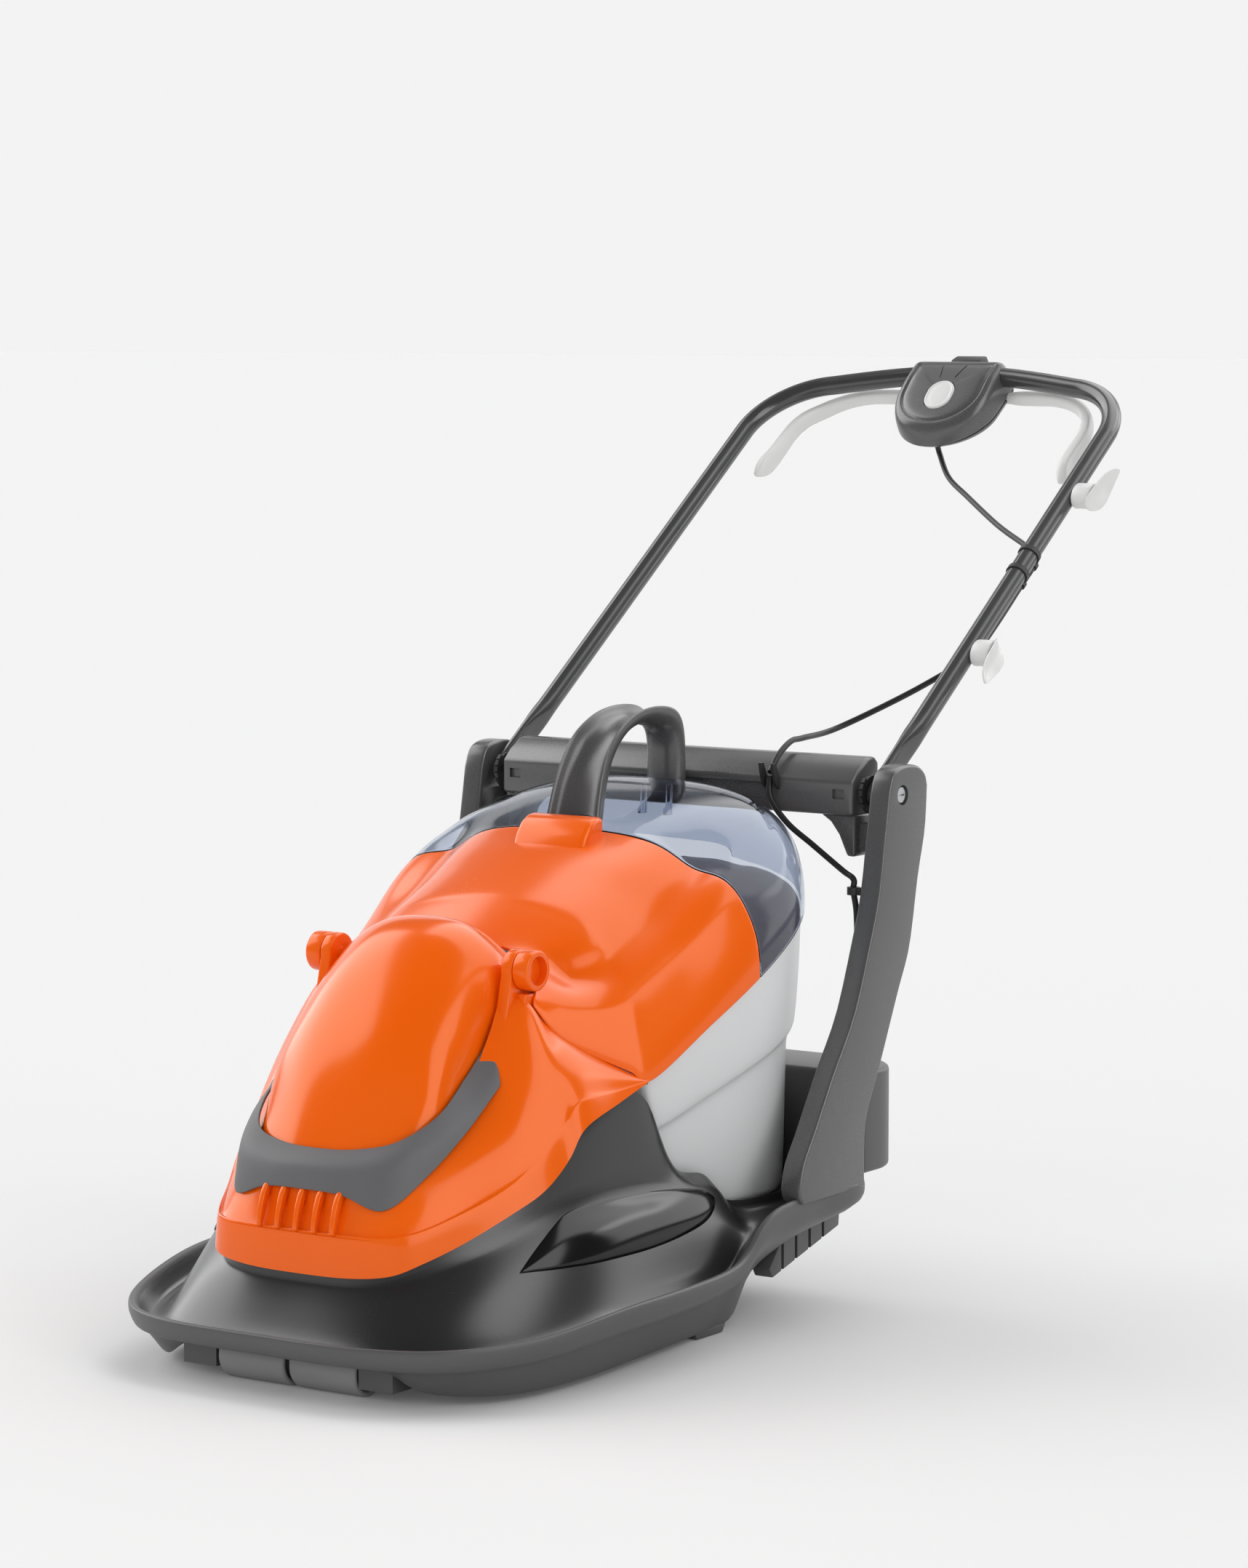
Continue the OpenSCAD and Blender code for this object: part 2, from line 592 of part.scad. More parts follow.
// Each row: centre station, roof height, edge station, half width, edge height
lid_rows = [
  [68, 404, 16, 131, 364], [84, 414, 34, 150, 327.5], [100, 424, 62, 172, 309.5], [120, 436, 90, 194, 294],
  [140, 447, 112, 206, 277], [200, 474, 190, 223, 319.5], [250, 492, 250, 233, 352.5],
  [300, 512, 300, 236, 380], [345, 526, 340, 232, 402], [385, 534, 370, 220, 418.5],
  [415, 536, 395, 200, 432.5], [432, 528, 413, 172, 442.5], [441, 506, 428, 130, 450.5],
  [445, 472, 437, 90, 455.5]];
panel_rows = 6.25;
lid_square = 2.5;
function lid_row(t) =
  let (r = along(lid_rows, t))
  [for (a = [-90 : 7.5 : 90])
    let (s = pow(abs(sin(a)), 2 / lid_square), c = pow(max(cos(a), 0), 2 / lid_square))
    [r[3] * s * sign(a), r[0] + (r[2] - r[0]) * pow(s, 6), r[4] + (r[1] - r[4]) * c]];
function lid_grid(t0, t1, steps) = [for (k = [0 : steps]) lid_row(t0 + (t1 - t0) * k / steps)];
module lid_panel() {
  grid = lid_grid(0, panel_rows, 14);
  color(ORANGE) {
    placed() {
      sheet(inset(grid, lid_wall), grid);
      across(-42, 42) polygon([[228, 478], [237, 499], [252, 511], [262, 511], [262, 490]]);
    }
    at_hinge() both() difference() {
      rod_x(knob_inner, knob_inner + knob_t, knob_d);
      rod_x(knob_inner - 1, knob_inner + knob_t + 1, pin_d + 2 * running);
      rod_x(knob_inner + knob_t - 4, knob_inner + knob_t + 1, pin_d + 14);
    }
  }
}
module lid_window() {
  grid = lid_grid(panel_rows + 0.01, len(lid_rows) - 1, 14);
  color([0.8, 0.87, 0.95, 0.4]) placed() sheet(inset(grid, lid_wall), grid);
}
// Carry handle: an arch with a finger gap over the lid
module carry_handle() {
  t = grip_t;
  color(CHARCOAL) placed() across(-grip_w / 2, grip_w / 2)
    polygon([[267, 496], [282, 545], [306, 584], [342, 606], [380, 614], [418, 612], [439, 601], [448, 576],
      [449, 526], [449 - t, 530], [448 - t, 566], [439 - t, 582], [418 - t, 612 - t], [380, 614 - t],
      [352, 606 - t], [330, 564], [314, 540], [303, 509]]);
}

// Rear frame: two arms, a crossbeam and the handle pivot

pivot_y = 480;
pivot_z = 528;
arm_in = 246;
beam_half = 222;
module at_pivot() { placed() translate([0, pivot_y, pivot_z]) children(); }
arm_outline = [
  [290, 129], [283, 142], [289, 168], [311, 200], [346, 253], [386, 309], [416, 378], [433, 425], [443, 475],
  [453, 531], [460, 548], [472, 556], [492, 558.5], [512, 556], [526, 547], [531, 535],
  [527, 489], [513, 439],
  [497, 369], [474, 323], [438, 250], [414, 205], [409, 175], [409, 129]];
arm_core = [
  [302, 150], [322, 206], [354, 257], [394, 313], [423, 381], [440, 428], [450, 477], [456, 508], [520, 508],
  [521, 489], [507, 440], [491, 371], [468, 326], [432, 253], [408, 207], [403, 178], [403, 150]];
module arm() {
  color(CHARCOAL) placed() difference() {
    across(arm_in, arm_in + arm_t) polygon(arm_outline);
    across(arm_in - 1, arm_in + arm_t - 5) polygon(arm_core);
    translate([0, pivot_y, pivot_z]) {
      rod_x(arm_in - 1, arm_in + arm_t + 1, rod_d + 2 * running);
      rod_x(arm_in + arm_t - 7, arm_in + arm_t + 1, rod_d + 12);
    }
  }
}
module right_arm() { arm(); }
module left_arm() { mirror([1, 0, 0]) arm(); }
module crossbeam() {
  color(CHARCOAL) placed() difference() {
    union() {
      across(-beam_half, beam_half)
        polygon([[458, 505], [458, 541], [470, 552], [490, 563], [504, 564], [512, 558], [512, 515],
          [500, 505]]);
      both() {
        translate([0, 496, 0]) rotate([90, 0, 0]) linear_extrude(32)
          polygon([[178, 506], [192, 497], [202, 484], [212, 462], [beam_half, 462], [beam_half, 506]]);
        across(beam_half - 4, arm_in) polygon([[472, 466], [506, 466], [514, 480], [510, 498], [474, 498]]);
      }
    }
    across(-beam_half + 30, beam_half - 30)
      polygon([[464, 500], [464, 536], [490, 557], [503, 558], [508, 554], [508, 517], [498, 508],
        [498, 500]]);
    both() translate([0, pivot_y, pivot_z]) rod_x(beam_half - 22, beam_half + 1, rod_d + 2 * running);
    both() translate([beam_half - 24, 457, 522]) cube([14, 5, 10]);
    translate([0, 461, 526]) rotate([90, 0, 0]) linear_extrude(6) union() {
      translate([-beam_half + 90, -9]) square([2 * beam_half - 180, 18]);
      for (x = [-beam_half + 90, beam_half - 90])
        translate([x, 0]) circle(r = 9);
    }
  }
}
module pivot_rods() {
  color(STEEL) at_pivot() both() rod_x(beam_half - 21, arm_in + arm_t - 7, rod_d);
}
module pivot_screws() {
  color(STEEL) at_pivot() both() difference() {
    rod_x(arm_in + arm_t - 7, arm_in + arm_t - 2, rod_d + 8);
    translate([arm_in + arm_t - 4, -6, -1]) cube([4, 12, 2]);
  }
}

// Handle, drawn flat in its own plane and tipped up about the pivot

leg_x = leg_spacing / 2;
eye_w = 26;
eye_t = 9;
eye_len = 70;
bend_turn = 82;
bar_x = leg_x - bend_r + bend_r * cos(bend_turn);
bar_s = leg_len + bend_r * sin(bend_turn);
bar_len = (bar_x - tube_d / 2 * cos(bend_turn) - 0.1) / sin(bend_turn);
bar_lap = 1;
bar_more = 0.12;
module on_handle() { at_pivot() rotate([handle_slope, 0, 0]) children(); }
module along_s(s0, s1, d) { translate([0, s0, 0]) rotate([-90, 0, 0]) cylinder(d = d, h = s1 - s0); }
// Round section of the tube, solid when no wall is given
module tube_section(d, wall) {
  difference() {
    circle(d = d);
    if (wall > 0) circle(d = d - 2 * wall);
  }
}
// Legs, bends and the two halves of the crossbar, whose ends lap over the bends
module tube_run(d, wall) {
  both() {
    translate([leg_x, eye_len, 0]) rotate([-90, 0, 0])
      linear_extrude(leg_len - eye_len) tube_section(d, wall);
    translate([leg_x - bend_r, leg_len, 0])
      rotate_extrude(angle = bend_turn) translate([bend_r, 0]) tube_section(d, wall);
    translate([bar_x, bar_s, 0]) rotate([0, 0, bend_turn]) translate([0, -bar_lap, 0])
      rotate([-90, 0, 0]) linear_extrude(bar_len + bar_lap)
        tube_section(d + bar_more, wall > 0 ? wall + bar_more : 0);
  }
}
module handle_tube() {
  color(CHARCOAL) on_handle() {
    tube_run(tube_d, tube_wall);
    both() difference() {
      union() {
        translate([leg_x, 0, 0]) rod_x(-eye_t / 2, eye_t / 2, eye_w);
        translate([leg_x - eye_t / 2, 0, -eye_w / 2]) cube([eye_t, eye_len, eye_w]);
      }
      translate([leg_x, 0, 0]) rod_x(-eye_t, eye_t, rod_d + 2 * running);
    }
  }
}
module detent_plates() {
  x1 = leg_x - eye_t / 2;
  color(BLACK) on_handle() both() across(x1 - 4, x1) difference() {
    union() {
      circle(d = 36);
      for (a = [100 : 20 : 260])
        rotate(a) translate([15, -3]) square([6, 6]);
    }
    circle(d = rod_d + 2 * running);
  }
}

crown_s = bar_s + bar_x / tan(bend_turn);
box_mid = crown_s - 65.7;
box_back = box_mid + 79;
box_front = 43;
box_seam = -22;
function box_side(w) = [
  [box_back - w, -18], [box_back - w, 9 - w], [box_back - 6 - w, 15 - w], [box_mid + 42, 14.6 - w],
  [box_mid - 26, 2.5 - w], [box_mid - 38 + w, -6 - w / 2], [box_mid - 43 + w, -15],
  [box_mid - 36 + w, -26 + w], [box_mid - 12, -32 + w], [box_mid + 52, -32 + w], [box_back - 9 - w, -28 + w]];
module switch_form(w) {
  intersection() {
    across(-switch_r, switch_r) polygon(box_side(w));
    translate([0, 0, -60]) linear_extrude(100) {
      translate([0, box_mid]) scale([1, (box_front - w) / (switch_r - w)]) circle(r = switch_r - w);
      translate([-switch_r + w, box_mid]) square([2 * (switch_r - w), box_back - box_mid - w]);
    }
  }
}
lever_s = box_mid + 55;
lever_n = -20;
neck_d = 13;
button_s = box_mid + 14;
button_foot = -9;
button_top = 12.4;
top_slope = 0.178;
spring_len = 2 * button_travel;
cable_s = box_mid - 22;
inlet_n = 1;
inlet_len = 15;
inlet_bore = 10;
module oval(l, w) {
  for (k = [-1, 1])
    translate([0, k * (l - w) / 2]) circle(d = w);
  translate([-w / 2, -(l - w) / 2]) square([w, l - w]);
}
module switch_shell() {
  difference() {
    switch_form(0);
    switch_form(switch_wall);
    tube_run(tube_d + 0.4, 0);
    translate([0, lever_s, lever_n]) rod_x(-switch_r - 5, switch_r + 5, neck_d + 4 * gap);
  }
}
module switch_box_top() {
  color(BLACK) on_handle() difference() {
    intersection() {
      switch_shell();
      translate([-100, 500, box_seam]) cube([200, 300, 100]);
    }
    translate([0, button_s, 0]) linear_extrude(40) oval(button_len + 2 * gap, button_w + 2 * gap);
  }
}
module switch_box_base() {
  color(BLACK) on_handle() difference() {
    union() {
      intersection() {
        switch_shell();
        translate([-100, 500, box_seam - 50]) cube([200, 300, 50 - 0.2]);
      }
      translate([-6, lever_s - 8, -30.5]) cube([12, 14, 16]);
    }
    translate([0, lever_s, lever_n]) rod_x(-10, 10, lever_shaft_d + 2 * running);
    for (x = [-40, 40], s = [box_mid - 16, box_mid + 32])
      translate([x, s, -60]) cylinder(d = 5, h = 40);
    translate([0, cable_s, -60]) cylinder(d = cable_d + 0.2, h = 40);
  }
}
module box_screws() {
  color(STEEL) on_handle()
    for (x = [-40, 40], s = [box_mid - 16, box_mid + 32])
      translate([x, s, -36.4]) {
        cylinder(d = 9, h = 3);
        cylinder(d = 4.6, h = 18);
      }
}
module lock_off_button() {
  color(PALE) on_handle() intersection() {
    translate([0, button_s, button_foot]) linear_extrude(40) oval(button_len, button_w);
    across(-button_w, button_w) polygon([[button_s - 30, button_foot], [button_s + 30, button_foot],
      [button_s + 30, button_top + 30 * top_slope], [button_s - 30, button_top - 30 * top_slope]]);
  }
}
module button_spring() {
  color(STEEL) on_handle() translate([0, button_s, button_foot - spring_len]) difference() {
    cylinder(d = 12, h = spring_len);
    translate([0, 0, -1]) cylinder(d = 9, h = spring_len + 2);
  }
}
module microswitch() {
  color(BLACK) on_handle() translate([-22, button_s - 26, -28]) cube([44, 42, 28 + button_foot - spring_len]);
}
module lever_shafts() {
  color(STEEL) on_handle() translate([0, lever_s, lever_n]) rod_x(-switch_r + 4, switch_r - 4, lever_shaft_d);
}
lever_bend = 84;
lever_turn_x = 110;
lever_w = 12;
lever_h = 13;
module lever() {
  color(PALE) on_handle() translate([0, lever_s, lever_n]) difference() {
    union() {
      rod_x(switch_r - 18, lever_turn_x, neck_d);
      translate([lever_turn_x, -lever_bend, 0]) rotate_extrude(angle = 90)
        translate([lever_bend - lever_w / 2, -lever_h / 2]) square([lever_w, lever_h]);
      translate([lever_turn_x + lever_bend - lever_w / 2, -lever_bend - 42, -lever_h / 2])
        cube([lever_w, 42.5, lever_h]);
      translate([lever_turn_x + lever_bend - lever_w / 2, -lever_bend - 42, 0])
        rotate([0, 0, 12]) translate([0, -24, -lever_h / 2]) cube([lever_w, 26, lever_h]);
    }
    rod_x(0, switch_r - 1, lever_shaft_d + 2 * running);
    translate([lever_turn_x, -lever_bend, -lever_h]) rotate_extrude(angle = 90)
      translate([lever_bend - lever_w / 2 + 2.5, 0]) square([lever_w - 5, lever_h - 3]);
    translate([lever_turn_x + lever_bend - lever_w / 2 + 2.5, -lever_bend - 40, -lever_h])
      cube([lever_w - 5, 41, lever_h - 3]);
  }
}
module right_lever() { lever(); }
module left_lever() { mirror([1, 0, 0]) lever(); }
module supply_inlet() {
  color(BLACK) on_handle() difference() {
    across(-22, 22) polygon([[box_back, -9], [box_back, 10], [box_back + 9, 12], [box_back + inlet_len, 9],
      [box_back + inlet_len, -8]]);
    translate([0, 0, inlet_n]) along_s(box_back - 1, box_back + inlet_len + 1, inlet_bore);
  }
}

// Cable hooks and clips on the right leg

hook_face = leg_x + tube_d / 2;
hook_out = hook_face + 25;
hook_up_s = 499;
hook_low_s = 229;
hook_w = 26;
module hook_form() {
  rod_x(hook_face + gap, hook_out - 5, hook_w + 6);
  translate([0, 0, -hook_w / 2]) linear_extrude(hook_w)
    polygon([[hook_out - 9, -14], [hook_out - 3, -14], [hook_out - 1, 0], [hook_out, 20],
      [hook_out - 1, 47], [hook_out - 5, 47], [hook_out - 7, 26], [hook_out - 9, 14]]);
}
module hook_bore() {
  rod_x(hook_face - 2, hook_out + 2, 5 + 2 * running);
  rod_x(hook_out - 10, hook_out + 2, 12);
}
module upper_cable_hook() {
  color(PALE) on_handle() translate([0, hook_up_s, 0]) difference() {
    hook_form();
    hook_bore();
  }
}
module lower_cable_hook() {
  color(PALE) on_handle() translate([0, hook_low_s, 0]) difference() {
    mirror([0, 1, 0]) hook_form();
    hook_bore();
  }
}
module hook_screws() {
  color(STEEL) on_handle()
    for (s = [hook_up_s, hook_low_s])
      translate([0, s, 0]) {
        rod_x(hook_face - tube_wall + 0.4, hook_out - 8, 5);
        rod_x(hook_out - 9.7, hook_out - 7, 9);
      }
}
clip_n = -tube_d / 2 - cable_d / 2 - 1.6;
module cable_clips() {
  color(BLACK) on_handle()
    for (s = [363, 395])
      translate([leg_x, s, 0]) difference() {
        union() {
          along_s(-5, 5, tube_d + 4);
          translate([0, 0, clip_n]) along_s(-5, 5, cable_d + 5);
        }
        along_s(-6, 6, tube_d + 0.2);
        translate([0, 0, clip_n]) along_s(-6, 6, cable_d + 0.4);
      }
}
module upper_cable() {
  color(BLACK) on_handle()
    cord([[0, cable_s, -30], [2, cable_s - 5, -44], [30, 586, -48], [78, 542, -40], [151, 478, -28],
      [205, 437, -20], [232, 415, clip_n], [leg_x, 395, clip_n], [leg_x, 363, clip_n], [leg_x, 300, clip_n],
      [leg_x - 2, 250, clip_n], [leg_x - 6, 236, clip_n]], cable_d, 48);
}
function lifted(p) = [p[0], pivot_y + p[1] * cos(handle_slope) - p[2] * sin(handle_slope),
  pivot_z + p[1] * sin(handle_slope) + p[2] * cos(handle_slope)];
guide = [125, 453, 546];
eye_at = [234, 442, 430];
module middle_cable() {
  color(BLACK) placed()
    cord([lifted([leg_x - 7.2, 234.1, clip_n]), lifted([222, 222, clip_n]), lifted([182, 171, clip_n]),
      lifted([121, 114, clip_n]) + [6, 0, 0], [124, 520, 577], [124, 495, 575], [124, 470, 562], guide],
      cable_d, 36);
}
module lower_cable() {
  color(BLACK) placed()
    cord([guide + [0.3, -0.4, -3.8], [127, 450, 520], [150, 447, 495], [182, 446, 474],
      [218, 446, 450], eye_at + [0, 0, 12], eye_at,
      [238, 442, 405], [239, 440, 360], [238, 428, 300], [238, 412, 240], [238, 405, 180], [238, 404, 124]],
      cable_d, 44);
}
// Hook on the beam and ring on the right arm that lead the cable
module cable_eye() {
  color(BLACK) placed() {
    translate([guide[0], 0, 0]) for (x = [-9, 6])
      across(x, x + 3) polygon([[457.8, 528], [457.8, 541], [450, 556], [444, 556], [446, 546], [450, 534]]);
    translate(eye_at) difference() {
      union() {
        cylinder(d = cable_d + 7, h = 8, center = true);
        translate([cable_d / 2 + 1, -3, -4]) cube([12 - cable_d / 2 - 1.2, 6, 8]);
      }
      cylinder(d = cable_d + 0.6, h = 10, center = true);
    }
  }
}
module cable_gland() {
  color(BLACK) placed() translate([238, 404, 119]) difference() {
    cylinder(d = 16, h = 6);
    translate([0, 0, -1]) cylinder(d = cable_d + 0.4, h = 9);
  }
}

deck_hood();
tail_skids();
rear_housing();
rear_flap();
roller_blocks();
roller_axle();
front_roller_left();
front_roller_right();
motor_mount();
motor_can();
motor_end_cap();
stator();
motor_bearings();
motor_shaft();
armature();
commutator();
brush_holders();
fan();
blade_spacers();
blade();
blade_bolt();
grass_duct();
grass_box();
motor_cover();
nose_dome();
nose_trim();
hinge_pins();
lid_panel();
lid_window();
carry_handle();
left_arm();
right_arm();
crossbeam();
pivot_rods();
pivot_screws();
handle_tube();
detent_plates();
switch_box_top();
switch_box_base();
lock_off_button();
button_spring();
lever_shafts();
left_lever();
right_lever();
microswitch();
supply_inlet();
box_screws();
upper_cable_hook();
lower_cable_hook();
hook_screws();
cable_clips();
cable_eye();
upper_cable();
middle_cable();
lower_cable();
cable_gland();
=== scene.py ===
import bpy
import math
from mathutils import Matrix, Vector


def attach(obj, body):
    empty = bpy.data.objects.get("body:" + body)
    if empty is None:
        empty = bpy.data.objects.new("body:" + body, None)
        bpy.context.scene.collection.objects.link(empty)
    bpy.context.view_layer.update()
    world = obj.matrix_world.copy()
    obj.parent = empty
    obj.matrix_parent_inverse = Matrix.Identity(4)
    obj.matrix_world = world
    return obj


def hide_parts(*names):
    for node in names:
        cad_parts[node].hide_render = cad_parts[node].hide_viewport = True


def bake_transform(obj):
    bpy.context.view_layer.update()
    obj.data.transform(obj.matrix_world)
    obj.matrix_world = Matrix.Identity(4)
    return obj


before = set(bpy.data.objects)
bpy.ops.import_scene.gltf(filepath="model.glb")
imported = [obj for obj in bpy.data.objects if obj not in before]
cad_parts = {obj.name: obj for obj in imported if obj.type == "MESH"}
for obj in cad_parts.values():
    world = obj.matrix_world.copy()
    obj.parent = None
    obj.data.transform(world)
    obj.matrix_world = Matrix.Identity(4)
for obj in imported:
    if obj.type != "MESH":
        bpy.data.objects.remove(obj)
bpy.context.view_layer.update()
scene = bpy.context.scene
print("frame loaded")

mm = 0.001
stationAhead = 415.4  # station zero lies this far in front of the middle
handlePivot = {"y": 480, "z": 528, "slope": math.radians(36.2)}
shaftUp = Vector((0, 0, 1))
cutPast = 5  # how far a cutter stands out of what it cuts


# places: stations on the mower, and points on the tipped handle
def place(p):
    return Vector((p[0], p[1] - stationAhead, p[2])) * mm


def onHandle(p):
    c, s = math.cos(handlePivot["slope"]), math.sin(handlePivot["slope"])
    y = handlePivot["y"] + p[1] * c - p[2] * s
    return place((p[0], y, handlePivot["z"] + p[1] * s + p[2] * c))


# smooth lines and nets through a few points
def along(points, t):
    last = len(points) - 1
    i = min(max(int(math.floor(t)), 0), last - 1)
    a, b, c, d = (Vector(points[min(max(k, 0), last)]) for k in (i - 1, i, i + 1, i + 2))
    t -= i
    start = 2 * b + (c - a) * t
    return 0.5 * (start + (2 * a - 5 * b + 4 * c - d) * t * t + (3 * b - a - 3 * c + d) * t ** 3)


def smoothLine(points, steps):
    return [along(points, k * (len(points) - 1) / steps) for k in range(steps + 1)]


def flipped(p):
    return Vector((-p[0], p[1], p[2]))


def bothSides(row):
    return [flipped(p) for p in row[:0:-1]] + [Vector(p) for p in row]


def fullRing(row):
    return [Vector(p) for p in row] + [flipped(p) for p in row[-2::-1]]


def net(rows, steps, depth):
    lines = [smoothLine(r, steps) for r in rows]
    columns = [smoothLine([line[k] for line in lines], depth) for k in range(steps + 1)]
    return [[columns[k][j] for k in range(steps + 1)] for j in range(depth + 1)]


# value of a broken line of (place, value) points
def onLine(line, at):
    for (a0, v0), (a1, v1) in zip(line, line[1:]):
        if at <= a1:
            return v0 + (v1 - v0) * max(at - a0, 0) / (a1 - a0)
    return line[-1][1]


def eased(t):
    t = min(max(t, 0), 1)
    return t * t * (3 - 2 * t)


# modelling steps
def clearSelection():
    bpy.ops.object.select_all(action="DESELECT")


def takeUp(obj):
    clearSelection()
    obj.select_set(True)
    bpy.context.view_layer.objects.active = obj


def inEdit(obj, *steps):
    takeUp(obj)
    bpy.ops.object.mode_set(mode="EDIT")
    bpy.ops.mesh.select_all(action="SELECT")
    for step in steps:
        step()
    bpy.ops.object.mode_set(mode="OBJECT")


def onFaces(obj, chosen, *steps):
    takeUp(obj)
    scene.tool_settings.mesh_select_mode = (False, False, True)
    for part in (obj.data.vertices, obj.data.edges):
        part.foreach_set("select", [False] * len(part))
    for p in obj.data.polygons:
        p.select = chosen(p)
    bpy.ops.object.mode_set(mode="EDIT")
    for step in steps:
        step()
    bpy.ops.object.mode_set(mode="OBJECT")
    scene.tool_settings.mesh_select_mode = (True, False, False)


def normalsOut(obj):
    inEdit(obj, lambda: bpy.ops.mesh.normals_make_consistent(inside=False))


def weld(obj):
    inEdit(obj, lambda: bpy.ops.mesh.remove_doubles(threshold=1e-6))


def fillEnds(obj):
    inEdit(obj, lambda: bpy.ops.mesh.fill_holes(sides=0))
    normalsOut(obj)


def applied(obj, kind, **values):
    takeUp(obj)
    modifier = obj.modifiers.new(kind.lower(), kind)
    for key, value in values.items():
        setattr(modifier, key, value)
    bpy.ops.object.modifier_apply(modifier=modifier.name)
    return obj


def rounded(obj, width, segments=3, limit=35):
    return applied(obj, "BEVEL", width=width * mm, segments=segments, limit_method="ANGLE",
                   angle_limit=math.radians(limit), harden_normals=False)


def subdivided(obj, levels):
    return applied(obj, "SUBSURF", levels=levels, render_levels=levels)


def cutBy(obj, cutter):
    applied(obj, "BOOLEAN", operation="DIFFERENCE", solver="EXACT", object=cutter)
    bpy.data.objects.remove(cutter)
    return obj


def joined(obj, *others):
    takeUp(obj)
    for other in others:
        other.select_set(True)
    bpy.ops.object.join()
    return obj


def gathered(name, parts):
    obj = joined(*parts)
    obj.name = obj.data.name = name
    return obj


# a grid whose rows become given points; bands gives each row of faces its finish
def gridPiece(name, rows, where=place, bands=None):
    wide, deep = len(rows[0]) - 1, len(rows) - 1
    clearSelection()
    bpy.ops.mesh.primitive_grid_add(x_subdivisions=wide, y_subdivisions=deep, size=2)
    obj = bpy.context.object
    obj.name = obj.data.name = name
    for p in obj.data.polygons if bands else []:
        p.material_index = bands[int((p.center.y + 1) / 2 * deep)]
    for v in obj.data.vertices:
        v.co = where(rows[round((v.co.y + 1) / 2 * deep)][round((v.co.x + 1) / 2 * wide)])
    return obj


# turns the faces of an open sheet away from a point inside it
def facesAway(obj, middle):
    if sum(p.area * p.normal.dot(p.center - middle) for p in obj.data.polygons) < 0:
        inEdit(obj, lambda: bpy.ops.mesh.flip_normals())


# an open sheet with a wall on its inner side
def shell(name, rows, inside, wall):
    obj = gridPiece(name, rows)
    facesAway(obj, place(inside))
    applied(obj, "SOLIDIFY", thickness=wall * mm, offset=-1)
    rounded(obj, min(0.8, wall * 0.3), 2, 60)
    return subdivided(obj, 1)


def ringStack(name, rows, where=place, levels=1):
    obj = gridPiece(name, rows, where)
    weld(obj)
    fillEnds(obj)
    if levels:
        subdivided(obj, levels)
    return obj


def outlinePiece(name, outline, shift, where=place, bevel=0, segments=3, limit=35):
    clearSelection()
    bpy.ops.mesh.primitive_circle_add(vertices=len(outline), radius=1, fill_type="NGON")
    obj = bpy.context.object
    obj.name = obj.data.name = name
    for v, p in zip(obj.data.vertices, outline):
        v.co = where(p)
    step = where(Vector(outline[0]) + Vector(shift)) - where(outline[0])
    inEdit(obj, lambda: bpy.ops.mesh.extrude_region_move(TRANSFORM_OT_translate={"value": step}))
    normalsOut(obj)
    if bevel:
        rounded(obj, bevel, segments, limit)
    return obj


def across(name, outline, x0, x1, bevel=0, segments=3, limit=35):
    plan = [(x0, y, z) for y, z in outline]
    return outlinePiece(name, plan, (x1 - x0, 0, 0), place, bevel, segments, limit)


# disc or rod with its axis along X
def rodAcross(name, x0, x1, y, z, d, bevel=0, sides=48):
    turn = [2 * math.pi * k / sides for k in range(sides)]
    outline = [(y + d / 2 * math.cos(a), z + d / 2 * math.sin(a)) for a in turn]
    return across(name, outline, x0, x1, bevel, 3, 50)


def ovalSection(wide, high, count=24, square=2.0):
    points = []
    for k in range(count + 1):
        c, s = math.cos(2 * math.pi * k / count), math.sin(2 * math.pi * k / count)
        points.append((wide / 2 * math.copysign(abs(c) ** (2 / square), c),
                       high / 2 * math.copysign(abs(s) ** (2 / square), s)))
    return points


# a bar swept in the handle's plane: each section is (sideways, upwards)
def sweptBar(name, path, sections, levels=0):
    rows = []
    for i, p in enumerate(path):
        ahead = Vector(path[min(i + 1, len(path) - 1)]) - Vector(path[max(i - 1, 0)])
        ahead.normalize()
        side = ahead.cross(shaftUp).normalized()
        rows.append([Vector(p) + side * u + shaftUp * v for u, v in sections[i]])
    return ringStack(name, rows, onHandle, levels)


def mirrored(obj, name):
    takeUp(obj)
    bpy.ops.object.duplicate()
    other = bpy.context.object
    other.name = other.data.name = name
    for v in other.data.vertices:
        v.co.x = -v.co.x
    inEdit(other, lambda: bpy.ops.mesh.flip_normals())
    return other


# camera at the photograph's place
cameraFacts = {
    "at": (2.76896, -4.13494, 1.02939), "azimuth": 34.129, "elevation": 5.734,
    "lens": 109.19, "sensor": 36, "farthest": 200,
}


def setCamera():
    az, el = math.radians(cameraFacts["azimuth"]), math.radians(cameraFacts["elevation"])
    bpy.ops.object.camera_add(location=cameraFacts["at"])
    camera = bpy.context.object
    forward = Vector((-math.sin(az) * math.cos(el), math.cos(az) * math.cos(el), -math.sin(el)))
    camera.rotation_euler = forward.to_track_quat("-Z", "Y").to_euler()
    camera.data.lens = cameraFacts["lens"]
    camera.data.sensor_width = cameraFacts["sensor"]
    camera.data.clip_end = cameraFacts["farthest"]
    scene.camera = camera


setCamera()


# shader nodes: a value is a number or another node's output
def setSocket(tree, socket, value):
    if isinstance(value, (int, float)):
        socket.default_value = value
    else:
        tree.links.new(value, socket)


def mathNode(tree, kind, *values):
    n = tree.nodes.new("ShaderNodeMath")
    n.operation = kind
    for socket, value in zip(n.inputs, values):
        setSocket(tree, socket, value)
    return n.outputs[0]


def mixNode(tree, kind, factor, a, b):
    n = tree.nodes.new("ShaderNodeMix")
    n.data_type = kind
    for name, value in (("Factor", factor), ("A", a), ("B", b)):
        setSocket(tree, n.inputs[name], value)
    return n.outputs["Result"]


